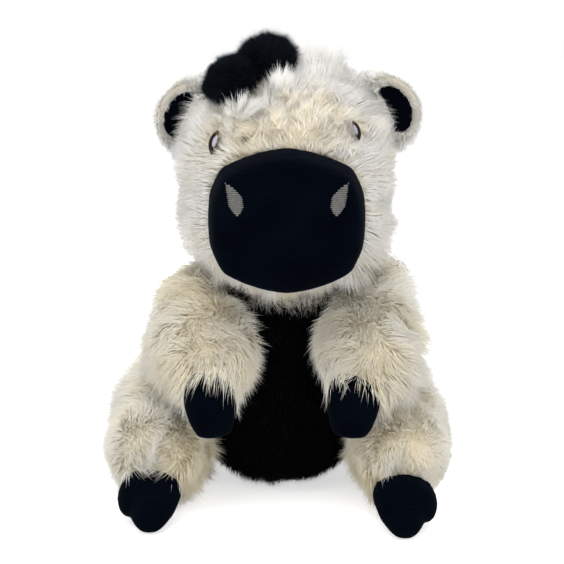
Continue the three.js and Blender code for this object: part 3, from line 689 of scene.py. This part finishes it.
def eye_distance(places):
    return np.min([np.linalg.norm(places - centre, axis=1) for centre in eye_centres.values()], axis=0)


def at_chin(places):
    """The chin."""
    before = (head_centre[1] - places[:, 1]) / (15 * MM)
    return rise(height(places), 128, 122) * np.clip(before, 0, 1)


BROW = np.array((1.0, -43.0, 189.0)) * MM
BROW_SIZE = np.array((34.0, 22.0, 15.0)) * MM
BROW_CREST = 1.4


def at_brow(places):
    """The curly brow over the muzzle."""
    return np.clip(BROW_CREST - np.linalg.norm((places - BROW) / BROW_SIZE, axis=1), 0, 1)


EAR_ROOTS = ((-47.0, -8.0, 187.0, 13.0), (47.0, -8.0, 187.0, 13.0))


def at_ear_root(places):
    """The long pile in front of an ear."""
    return near_spots(places, EAR_ROOTS, 1.2)


def at_jowl(places):
    """The full pile low on the cheeks."""
    return band(height(places), 123, 20, 1.2) * rise(aside(places), 22, 34)


def at_right_cheek(places):
    """The full pile below the right ear."""
    return band(height(places), 160, 16) * rise(-places[:, 0], 25, 40)


def at_crown(places):
    """The smooth top of the head."""
    return rise(height(places), 194, 202)


def at_muzzle(places):
    """The soft pile round the muzzle."""
    return np.clip(1.5 - distance_to(muzzle_tree, places) / MUZZLE_FADE, 0, 1)


def head_comb(places):
    """Away from the muzzle's front and from the eyes, down and ahead on the chin, and out over the ears."""
    away = unit(places - (muzzle_centre + AHEAD * 20 * MM))
    flow = away + DOWN * 0.25 + at_chin(places)[:, None] * (DOWN + AHEAD * 1.6) * 1.5
    over_ears = np.sign(places[:, :1]) * np.array((1.5, 0, 0)) + AHEAD * 0.4
    flow = flow + at_ear_root(places)[:, None] * over_ears
    for centre in eye_centres.values():
        apart = places - centre
        near = np.clip(1 - np.linalg.norm(apart, axis=1) / (16 * MM), 0, 1)[:, None]
        flow = flow + unit(apart) * near * 1.5
    return flow


def head_keep(front, area=None):
    """Roots on the front or the back half of the head, clear of the eyes and the muzzle, and in the area."""
    def keep(places, facing):
        before = places[:, 1] < head_centre[1] + HALVES_MEET
        kept = before if front else ~before
        kept &= eye_distance(places) > EYE_CLEAR
        kept &= depth_in(muzzle_tree, places) < MUZZLE_LAP
        return kept if area is None else kept & (area(places) > AREA_RIM)
    return keep


def head_trim(places):
    """Shorter round the eyes and the muzzle, and fuller at the chin, the cheeks and the ears."""
    fade = np.clip((eye_distance(places) - EYE_CLEAR) / (EYE_FADE - EYE_CLEAR), 0, 1)
    fade = fade * (0.45 + 0.55 * np.clip(distance_to(muzzle_tree, places) / MUZZLE_FADE, at_chin(places), 1))
    fuller = 0.1 * at_chin(places) - 0.35 * at_brow(places) + 0.3 * at_ear_root(places)
    fuller = fuller + 0.8 * at_jowl(places) + 0.3 * at_right_cheek(places)
    return (0.35 + 0.65 * fade) * (1 + fuller)


def head_tone(places):
    """White, even on the crown, with painted shade in the creases of the brow and painted shadow on the brow
    just above the muzzle.
    """
    crease_shade = np.exp(-(wander(places, 13 * MM, 15) / 0.15) ** 2)
    crown = at_crown(places)
    plain = 0.85 + 0.12 * wander(places, 18 * MM, 5) * (1 - crown) + 0.14 * crown
    # The brow is creamier by 0.12; the crease term is painted shade and the muzzle term painted shadow.
    return plain - at_brow(places) * (0.12 + 0.55 * crease_shade + 0.5 * at_muzzle(places))


for name, front, seed, per_mm2 in (("head_pile_front", True, 11, 1.7), ("head_pile_back", False, 12, 1.5)):
    coat(
        name, head_form, "head", "fur_white", white_pile, seed=seed, per_mm2=per_mm2, length=WHITE_PILE,
        comb=head_comb, keep=head_keep(front), trim=head_trim, tone=head_tone, pull=0.4, curl=0.15,
        even=lambda places: np.maximum(0.8 * at_crown(places), 0.6 * at_muzzle(places)),
        lean=lambda places: 50 - 25 * at_jowl(places),
    )
coat(
    "brow_curls", head_form, "head", "fur_white", brow_pile, seed=13, per_mm2=2.6, length=17 * MM,
    comb=head_comb, lean=55, swirl=130, swirl_size=8 * MM, clump=6 * MM, pull=0.55, curl=0.5,
    keep=head_keep(True, at_brow), tone=head_tone, strand=CURLED_STRAND,
    trim=lambda places: head_trim(places) * (0.5 + 0.5 * at_brow(places)),
)
coat(
    "chin_fringe", head_form, "head", "fur_white", brow_pile, seed=14, per_mm2=4, length=16.5 * MM,
    comb=brushed(0, -0.9, -1), lean=22, swirl=20, clump=5 * MM, pull=0.4, curl=0.12,
    keep=head_keep(True, at_chin), trim=lambda places: 1 - 0.5 * rise(aside(places), 16, 30),
    over=[muzzle_tree], tone=lambda places: 0.6 + 0.35 * wander(places, 8 * MM, 16),
)


# Body pile: white at the back and sides, black on the belly and on a patch of the back
panel_trees = [tree_of_shape(joined(node)) for node in BODY_NODES]


def panel_at(places, facing):
    """Which of the body's panels lies over each place, as its number in BODY_NODES.
    The belly's cloth also wraps under the seat."""
    outer = places + facing * WHITE_SINK
    panel = np.stack([distance_to(tree, outer) for tree in panel_trees], 1).argmin(1)
    seat = (height(places) < 26 * MM) & (places[:, 1] < 8 * MM) & (aside(places) < 44 * MM)
    return np.where(seat, BODY_NODES.index("belly_panel"), panel)


def on_panel(node, head_depth=2 * MM):
    """Roots on one panel that lie less deep in the head than head_depth."""
    def keep(places, facing):
        here = panel_at(places, facing) == BODY_NODES.index(node)
        return here & (depth_in(head_tree, places) < head_depth)
    return keep


middles = np.array([face.center for face in body_form.polygons])
normals = np.array([face.normal for face in body_form.polygons])
body_form.polygons.foreach_set("material_index", (panel_at(middles, normals) > 0).astype(np.int32))


def at_waist(places):
    """The full pile at the sides between arms and legs."""
    return band(height(places), 66, 26) * rise(aside(places), 0, 30)


# The full pile beside the neck
at_shoulder = patch((85, 100), (15, 30))


def body_comb(places):
    """Down the body, and out to the sides at the waist and the shoulders."""
    sideways = np.sign(places[:, :1]) * np.array((1.0, 0.0, 0.0))
    fuller = (at_waist(places) + at_shoulder(places))[:, None]
    return DOWN * (1 - at_shoulder(places)[:, None]) + AHEAD * 0.1 + sideways * fuller


DOWN_COMB = brushed(0, -0.1, -1)

coat(
    "body_pile", body_form, "body", "fur_white", white_pile, seed=21, per_mm2=1.3, length=WHITE_PILE,
    comb=body_comb, keep=on_panel("body_back_panel"), lean=lambda places: 50 - 25 * at_waist(places),
    trim=lambda places: 1 + 0.6 * at_waist(places) + 0.5 * at_shoulder(places),
    tone=lambda places: 0.6 + 0.25 * wander(places, 18 * MM, 6),
)
coat(
    "belly_pile", body_form, "body", "fur_black", black_pile, seed=22, per_mm2=2.6, length=BELLY_PILE,
    comb=DOWN_COMB, lean=35, swirl=20, clump=5 * MM, pull=0.4, curl=0.1,
    keep=on_panel("belly_panel", head_depth=-4 * MM), tone=0.3,
)
coat(
    "back_patch_pile", body_form, "body", "fur_black", black_pile, seed=23, per_mm2=1.6, length=WHITE_PILE,
    comb=DOWN_COMB, keep=on_panel("back_patch"), tone=0.4,
)
coat(
    "neck_pile", neck_form, "neck", "fur_white", white_pile, seed=24, per_mm2=1.0, length=WHITE_PILE * 0.7,
    comb=DOWN_COMB, keep=lambda places, facing: depth_in(head_tree, places) < 4 * MM,
)


# Arms and legs
def limb_keep(hoof_tree, hoof_node):
    """Roots outside the body and the hoof, whose pile also clears the hoof."""
    hoof_hull = tree_of_shape(hull_of(corners_of(hoof_node)))

    def keep(places, facing):
        clear = (depth_in(body_tree, places) < 1 * MM) & (depth_in(hoof_hull, places) < -1 * MM)
        for out in (0, 2.5 * MM, 5 * MM):
            clear &= depth_in(hoof_tree, places + facing * out) < 0
        return clear
    return keep


FRINGE_REACH = 9 * MM


def fringe_of(hoof_tree):
    """The rule of the fringe over a hoof."""
    return lambda places: np.clip(1 - distance_to(hoof_tree, places) / FRINGE_REACH, 0, 1)


# An arm's outer top and its lower outer side
at_arm_top = patch((95, 107), (38, 50))
at_elbow = patch((95, 70), (38, 53))

# A thigh's outer top, the leg's outer side below it, and the inner side of the lower leg, where the pile is
# darkened as painted shade
at_thigh = patch((30, 55), (40, 60))
at_outer_leg = patch((60, 15), (52, 64))
at_shaded_inner_leg = patch((38, 24), (52, 44))


def at_lit_outside(places):
    """The outside of a limb, where the pile is made paler as painted rim light."""
    return rise(aside(places), 50, 70)


# The two sides of the toy are stuffed and brushed a little differently
ARM_TONE = {"right": 0.6, "left": 0.7}
ARM_TOP_FULLER = {"right": -0.1, "left": 0.6}
ARM_TOP_RISE = {"right": 0, "left": 25}
THIGH_FULLER = {"right": 0.45, "left": 0.1}
OUTER_TRIM = {"right": 0.0, "left": 0.7}


def hoof(node, body, shape, voxel, passes):
    """Makes a velour hoof and gives the tree of its form."""
    form = stuffed(shape, voxel, passes)
    stuffed_piece(f"{node}_velour", form, body, "velour_black", hoof_velour, 0.7, node)
    return tree_of(form)


for side in SIDES:
    body, node = f"arm_{side}", f"front_hoof_{side}"
    front_tree = hoof(node, body, hull_of(corners_of(node)), 1.4 * MM, 8)
    front_fringe = fringe_of(front_tree)
    coat(
        f"arm_pile_{side}", limb_forms[body], body, "fur_cream", cream_pile, seed=31 + SIDES[side],
        per_mm2=2.2, length=WHITE_PILE, comb=brushed(SIDES[side] * 0.15, -0.5, -1), swirl=45,
        pull=0.36, curl=0.16, loose=0.2, over=[front_tree], keep=limb_keep(front_tree, node),
        lean=lambda places: (
            50 - 20 * at_elbow(places) - ARM_TOP_RISE[side] * at_arm_top(places) - 20 * front_fringe(places)
        ),
        trim=lambda places: (
            1 + 0.5 * at_elbow(places) + 0.6 * front_fringe(places)
            + ARM_TOP_FULLER[side] * at_arm_top(places)
        ),
        even=lambda places: 0.6 * rise(height(places), 88, 100),
        # paler on the outside of the arm: painted rim light
        tone=lambda places: ARM_TONE[side] + 0.25 * wander(places, 15 * MM, 7) + 0.3 * at_lit_outside(places),
    )
    body, node = f"leg_{side}", f"hind_hoof_{side}"
    hind_tree = hoof(node, body, joined(node), 1.2 * MM, 6)
    hind_fringe = fringe_of(hind_tree)
    coat(
        f"leg_pile_{side}", limb_forms[body], body, "fur_cream", cream_pile, seed=41 + SIDES[side],
        per_mm2=2.0, length=WHITE_PILE, comb=brushed(SIDES[side] * 0.1, -1, -0.8), swirl=45,
        pull=0.36, curl=0.16, loose=0.2, over=[hind_tree], keep=limb_keep(hind_tree, node),
        lean=lambda places: 50 - 25 * at_thigh(places) - 28 * hind_fringe(places),
        trim=lambda places: (1 + THIGH_FULLER[side] * at_thigh(places) + 0.9 * hind_fringe(places)) * (
            1 - OUTER_TRIM[side] * at_outer_leg(places)
        ),
        even=lambda places: 0.5 * rise(height(places), 32, 44),
        tone=lambda places: (
            # darker on the inner lower leg: painted shade
            0.62 + 0.25 * wander(places, 15 * MM, 8) - 0.8 * at_shaded_inner_leg(places)
            # paler on the outside of the leg: painted rim light
            + 0.3 * at_lit_outside(places)
        ),
    )


# Black hairs on the left arm's top. Each spot is a place near it, in millimetres.
SPECKS = ((34.6, -14.2, 110.1), (31.5, -18.0, 107.5), (42.0, -7.5, 112.0), (53.0, 6.0, 107.0))
SPECK_REACH = 2.6 * MM
left_arm_tree = tree_of(limb_forms["arm_left"])
speck_roots = [np.array(left_arm_tree.find_nearest(Vector(spot) * MM)[0]) for spot in SPECKS]


def speck_keep(places, facing):
    return np.min([np.linalg.norm(places - root, axis=1) for root in speck_roots], axis=0) < SPECK_REACH


coat(
    "shoulder_specks", limb_forms["arm_left"], "arm_left", "fur_cream", black_pile, seed=25, per_mm2=3.5,
    length=16 * MM, comb=brushed(0.15, -0.5, -1), swirl=45, lean=25, loose=0.3, keep=speck_keep, tone=0.3,
)


# Ears
EAR_SINK = 3.0 * MM
EAR_LAP = 3 * MM


def ear_keep(cover_tree, lining_tree):
    def keep(places, facing):
        outer = places + facing * EAR_SINK
        return (distance_to(cover_tree, outer) < 1.5 * MM) & (distance_to(lining_tree, outer) > 0.2 * MM)
    return keep


def ear_trim(middle_height):
    """Longer pile low on an ear and at the top of its root."""
    def trim(places):
        low = np.clip((middle_height - 6 * MM - height(places)) / (8 * MM), 0, 1)
        high = np.clip((height(places) - middle_height) / (8 * MM), 0, 1)
        return 1 + 0.9 * low + 1.1 * rise(aside(places), 56, 48) * high
    return trim


def ear_lean(lining_tree):
    """Flat over the ear, but turned in over the lining on the narrow band round it, to soften its edge."""
    def lean(places):
        return 55 - 75 * np.clip(1 - (distance_to(lining_tree, places) - EAR_SINK) / EAR_LAP, 0, 1)
    return lean


def away_from(centre, upwards):
    """Brushed out from a centre, and upwards by a share."""
    return lambda places: unit(places - centre) + UP * upwards


# The fur draws the right ear in a little
EAR_SHIFT = {"right": 1.5 * MM, "left": 0.0}

for side in SIDES:
    ear, lining = f"ear_{side}", f"ear_lining_{side}"
    ear_form = stuffed(joined(ear, lining), voxel=1.5 * MM, passes=5, sink=EAR_SINK)
    lining_tree = tree_of_shape(joined(lining))
    ear_pile = grown(
        f"ear_pile_{side}", ear_form, seed=51 + SIDES[side], per_mm2=7, length=4.2 * MM,
        comb=away_from(centre_of(lining), -0.15), lean=ear_lean(lining_tree), swirl=15, clump=6 * MM,
        pull=0.25, curl=0.1, keep=ear_keep(tree_of_shape(joined(ear)), lining_tree), loose=0.2,
        trim=ear_trim(centre_of(ear)[2]), tone=1.0,
    )
    lining_form = stuffed(joined(lining), voxel=0.7 * MM, passes=3, sink=0.9 * MM)
    for mesh in (ear_form, ear_pile, lining_form):
        mesh.transform(Matrix.Translation((EAR_SHIFT[side], 0, 0)))
    stuffed_piece(f"ear_skin_{side}", ear_form, ear, "fur_white", white_backing, 0.4, ear)
    linked(f"ear_pile_{side}", ear_pile, ear, "fur_white", white_pile)
    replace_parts(linked(f"{lining}_velour", lining_form, ear, "velour_black", black_velour), lining)


# Forelock
forelock_form = stuffed(joined("forelock"), voxel=2 * MM, passes=8, sink=3.5 * MM)
forelock_centre = centre_of("forelock")
stuffed_piece("forelock_skin", forelock_form, "head", "fur_black", black_backing, 0.6, "forelock")
coat(
    "forelock_pile", forelock_form, "head", "fur_black", forelock_pile, seed=61, per_mm2=5,
    length=5.2 * MM, comb=away_from(forelock_centre, 0.4), lean=30, swirl=40, clump=6 * MM, pull=0.35,
    curl=0.12, tone=lambda places: 0.4 + 0.3 * wander(places, 9 * MM, 9),
)
coat(
    "forelock_wisps", forelock_form, "head", "fur_black", forelock_pile, seed=62, per_mm2=4,
    length=6.8 * MM, comb=away_from(forelock_centre, 0.3), lean=30, swirl=60, clump=4 * MM, pull=0.25,
    curl=0.2, loose=0.25, width=WISP_WIDTH, tone=0.5,
)

# White tufts that rise in front of the forelock, and softer pile beside it and over the ears' roots
CROWN_TUFTS = ((-0.5, -30.0, 203.0, 6.0), (-19.0, -34.5, 190.0, 5.5))
CREST_SPOTS = ((16.0, -8.0, 206.5, 15.0), (39.0, 4.0, 196.0, 9.0), (-38.0, 4.0, 194.0, 9.0))

coat(
    "crown_tufts", head_form, "head", "fur_white", white_pile, seed=63, per_mm2=4, length=20 * MM,
    comb=brushed(0, -0.8, 1), swirl=30, clump=3 * MM, pull=0.5, curl=0.2, tone=0.95,
    lean=lambda places: np.where(height(places) > 197 * MM, 8, 35),
    keep=lambda places, facing: near_spots(places, CROWN_TUFTS) > 0,
    trim=lambda places: 0.6 + 0.5 * near_spots(places, CROWN_TUFTS),
)
coat(
    "crest_pile", head_form, "head", "fur_white", white_pile, seed=64, per_mm2=4.5, length=22 * MM,
    comb=head_comb, swirl=20, clump=6 * MM, pull=0.15, curl=0.1, loose=0.2, tone=0.95,
    lean=lambda places: 50 - 60 * near_spots(places, CREST_SPOTS),
    keep=lambda places, facing: near_spots(places, CREST_SPOTS) > 0.05,
    trim=lambda places: 0.5 + 0.6 * near_spots(places, CREST_SPOTS),
)


# Tail
tail_form = stuffed(joined("tail"), voxel=1.2 * MM, passes=4, sink=2 * MM)
stuffed_piece("tail_skin", tail_form, "tail", "fur_white", white_backing, 0.6, "tail")
coat(
    "tail_pile", tail_form, "tail", "fur_white", white_pile, seed=71, per_mm2=2.5, length=5 * MM,
    comb=brushed(0.7, 0.3, -0.3), clump=6 * MM,
)
tuft_form = stuffed(joined("tail_tuft"), voxel=1.6 * MM, passes=4, sink=3 * MM)
stuffed_piece("tail_tuft_skin", tuft_form, "tail", "fur_black", black_backing, 0.6, "tail_tuft")
coat(
    "tail_tuft_pile", tuft_form, "tail", "fur_black", black_pile, seed=72, per_mm2=3.0, length=8 * MM,
    comb=brushed(1, 0.1, -0.2), clump=6 * MM, tone=0.4,
)


# Satin stitches
EYE_PITCH = 0.5 * MM
NOSTRIL_PITCH = 0.85 * MM
STITCH_RISE = 0.35 * MM
STITCH_LAP = 0.56
STITCH_OUT = 0.6


def stitches(rows, surface_at, pitch):
    """Level satin stitches, pitch apart. rows gives (level, from, to) for each, and
    surface_at(across, level) the place and facing of the cloth there."""
    shape = bmesh.new()
    for level, start, end in rows:
        made = bmesh.ops.create_uvsphere(shape, u_segments=8, v_segments=8, radius=1)["verts"]
        for v in made:
            blunt = math.copysign(math.sqrt(abs(v.co.z)), v.co.z)
            across = (start + end) / 2 + blunt * (end - start) / 2
            place, facing = surface_at(across, level + v.co.y * pitch * STITCH_LAP)
            v.co = place + facing * (v.co.x * STITCH_RISE + STITCH_RISE * STITCH_OUT)
    bmesh.ops.recalc_face_normals(shape, faces=shape.faces)
    mesh = bpy.data.meshes.new("stitches")
    shape.to_mesh(mesh)
    shape.free()
    mesh.polygons.foreach_set("use_smooth", [True] * len(mesh.polygons))
    return mesh


ahead_of_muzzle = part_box("muzzle_cover")[0].y - 10 * MM


def on_muzzle(across, level):
    """The muzzle's front where a level line from ahead meets it."""
    start = Vector((across, ahead_of_muzzle, level))
    place, facing, _, _ = muzzle_tree.ray_cast(start, Vector((0, 1, 0)))
    return place, facing


# A nostril's stitches end a little below its top and above its foot, and their ends are a little uneven
NOSTRIL_TOP = 0.6 * MM
NOSTRIL_FOOT = 1.6 * MM
NOSTRIL_RAGGED = 0.02


def nostril_rows(side):
    """A drop with its point up and outwards and a straighter outer edge. share runs from top to foot,
    and near and far are its two edges as shares of the width."""
    low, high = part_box(f"nostril_{side}")
    outer, inner = (low.x, high.x) if side == "right" else (high.x, low.x)
    rng = np.random.default_rng(81)
    top, foot = high.z - NOSTRIL_TOP, low.z + NOSTRIL_FOOT
    count = int((top - foot) / NOSTRIL_PITCH)
    for k in range(count + 1):
        share = k / count
        near = 0.03 + 0.18 * share + 0.32 * share**6
        far = 0.96 - 0.9 * (1 - share) ** 4 - 0.25 * share**8
        ragged = rng.uniform(-NOSTRIL_RAGGED, NOSTRIL_RAGGED, 2)
        ends = [outer + (inner - outer) * (edge + r) for edge, r in zip((near, far), ragged)]
        yield top - share * (top - foot), *sorted(ends)


for side in SIDES:
    rows = stitches(nostril_rows(side), on_muzzle, NOSTRIL_PITCH)
    nostril = linked(f"nostril_{side}_stitches", rows, "head", "thread_silver", silver_thread)
    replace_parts(nostril, f"nostril_{side}")


# Each layer's width and height, its middle aside and up, its thread, and how far it stands out.
# The first four are shares of the eye's half sizes.
EYE_LAYERS = (
    (1.0, 1.0, 0.0, 0.0, rim_thread, 0.0),
    (0.84, 0.94, -0.12, 0.03, iris_thread, 0.12 * MM),
    (0.68, 0.84, -0.1, -0.12, pupil_thread, 0.24 * MM),
    (0.3, 0.48, -0.72, 0.12, glint_thread, 0.36 * MM),
)
EYE_HALF_WIDTH = 4.4 * MM
EYE_HALF_HEIGHT = 5.8 * MM
EYE_TURN = math.radians(38)
EYE_BULGE = 0.35
EYE_STAND = 1.0 * MM
EYE_SHARE = {"right": 1.0, "left": 0.8}
LAST_ROW = 0.98


def eye_frame(side):
    """The eye's middle, the way that it faces, its own level line and its own upright."""
    centre = Vector(eye_centres[side])
    _, normal, _, _ = head_tree.find_nearest(centre)
    outward = Vector((SIDES[side], 0, 0))
    facing = (normal * math.cos(EYE_TURN) + outward * math.sin(EYE_TURN)).normalized()
    level = Vector((0, 0, 1)).cross(facing).normalized()
    return centre + normal * EYE_STAND, facing, level, facing.cross(level)


def eye_rows(side, wide, high, aside_share, up):
    """The stitches of one round layer of an eye."""
    half_width, half_height = EYE_HALF_WIDTH * EYE_SHARE[side], EYE_HALF_HEIGHT * EYE_SHARE[side]
    count = int(2 * high * half_height / EYE_PITCH)
    shift = aside_share * half_width * SIDES[side]
    for k in range(count + 1):
        drop = (k / count * 2 - 1) * LAST_ROW
        half = wide * half_width * math.sqrt(1 - drop**2)
        yield (drop * high + up) * half_height, shift - half, shift + half


for side in SIDES:
    middle, facing, level_line, upright = eye_frame(side)
    shape = bmesh.new()
    for index, (*outline, _, stand) in enumerate(EYE_LAYERS):
        def on_eye(across, level):
            out = stand - EYE_BULGE * (across**2 + level**2) / EYE_HALF_HEIGHT
            return middle + level_line * across + upright * level + facing * out, facing

        layer = stitches(eye_rows(side, *outline), on_eye, EYE_PITCH)
        layer.polygons.foreach_set("material_index", [index] * len(layer.polygons))
        shape.from_mesh(layer)
    mesh = bpy.data.meshes.new(f"eye_{side}_stitches")
    shape.to_mesh(mesh)
    shape.free()
    kinds = [face.material_index for face in mesh.polygons]
    threads = [thread for *_, thread, _ in EYE_LAYERS]
    eye = linked(f"eye_{side}_stitches", mesh, "head", "thread_brown", *threads)
    mesh.polygons.foreach_set("material_index", kinds)
    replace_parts(eye, f"eye_{side}")


# Floor, light and camera
FLOOR_HALF = 3.0
FLOOR_GLOW = 0.6


def floor_material():
    """A matt floor that keeps the toy's shadow and is seen as white as what is behind it."""
    material, add, _ = new_material("pale floor", {})
    material.node_tree.nodes.clear()
    rays = add("ShaderNodeLightPath").outputs
    seen = add("ShaderNodeMath", {0: rays["Is Camera Ray"], 1: rays["Is Glossy Ray"]}, operation="MAXIMUM")
    strength = add("ShaderNodeMath", {0: seen.outputs[0], 1: FLOOR_GLOW}, operation="MULTIPLY")
    matt = add("ShaderNodeBsdfDiffuse", {"Color": (0.9, 0.9, 0.9, 1)})
    glow = add("ShaderNodeEmission", {"Strength": strength.outputs[0]})
    total = add("ShaderNodeAddShader", {0: matt.outputs[0], 1: glow.outputs[0]})
    add("ShaderNodeOutputMaterial", {"Surface": total.outputs[0]})
    return material


WORLD_LIGHT = 0.9
LAMP_SIZE = 1.2
LAMP_AIM = Vector((0.0, 0.0, 0.11))
LAMPS = (
    ("key", (-0.3, -0.4, 1.5), 13),
    ("fill", (0.8, -0.9, 0.7), 3.5),
    ("front", (-0.6, -1.2, 0.4), 2.0),
)

scene = bpy.context.scene
scene.view_settings.view_transform = "Standard"
floor_shape = bmesh.new()
bmesh.ops.create_grid(floor_shape, x_segments=1, y_segments=1, size=FLOOR_HALF)
floor_mesh = bpy.data.meshes.new("floor")
floor_shape.to_mesh(floor_mesh)
floor_shape.free()
floor_mesh.materials.append(floor_material())
floor = bpy.data.objects.new("floor", floor_mesh)
scene.collection.objects.link(floor)

world = bpy.data.worlds.new("studio")
scene.world = world
world.use_nodes = True
nodes, links = world.node_tree.nodes, world.node_tree.links
background = nodes["Background"]
background.inputs["Color"].default_value = (1, 1, 1, 1)
seen = nodes.new("ShaderNodeLightPath")
strength = nodes.new("ShaderNodeMapRange")
strength.inputs["To Min"].default_value = WORLD_LIGHT
strength.inputs["To Max"].default_value = 1.0
links.new(seen.outputs["Is Camera Ray"], strength.inputs["Value"])
links.new(strength.outputs["Result"], background.inputs["Strength"])

for name, place, power in LAMPS:
    light = bpy.data.lights.new(name, "AREA")
    light.shape = "SQUARE"
    light.size = LAMP_SIZE
    light.energy = power
    lamp = bpy.data.objects.new(name, light)
    scene.collection.objects.link(lamp)
    lamp.location = place
    lamp.rotation_euler = (LAMP_AIM - Vector(place)).to_track_quat("-Z", "Y").to_euler()

# The photographed view: a little above, from straight ahead
CAMERA_RISE = math.radians(12)
CAMERA_DISTANCE = 0.8
CAMERA_AIM = Vector((0.54 * MM, -4.32 * MM, 105 * MM))
CAMERA_LENS = 102.1
SENSOR_WIDTH = 36
camera_data = bpy.data.cameras.new("camera")
camera_data.lens = CAMERA_LENS
camera_data.sensor_width = SENSOR_WIDTH
camera_data.clip_start = 0.01
camera = bpy.data.objects.new("camera", camera_data)
scene.collection.objects.link(camera)
back = Vector((0, -math.cos(CAMERA_RISE), math.sin(CAMERA_RISE)))
camera.location = CAMERA_AIM + back * CAMERA_DISTANCE
camera.rotation_euler = (-back).to_track_quat("-Z", "Y").to_euler()
scene.camera = camera
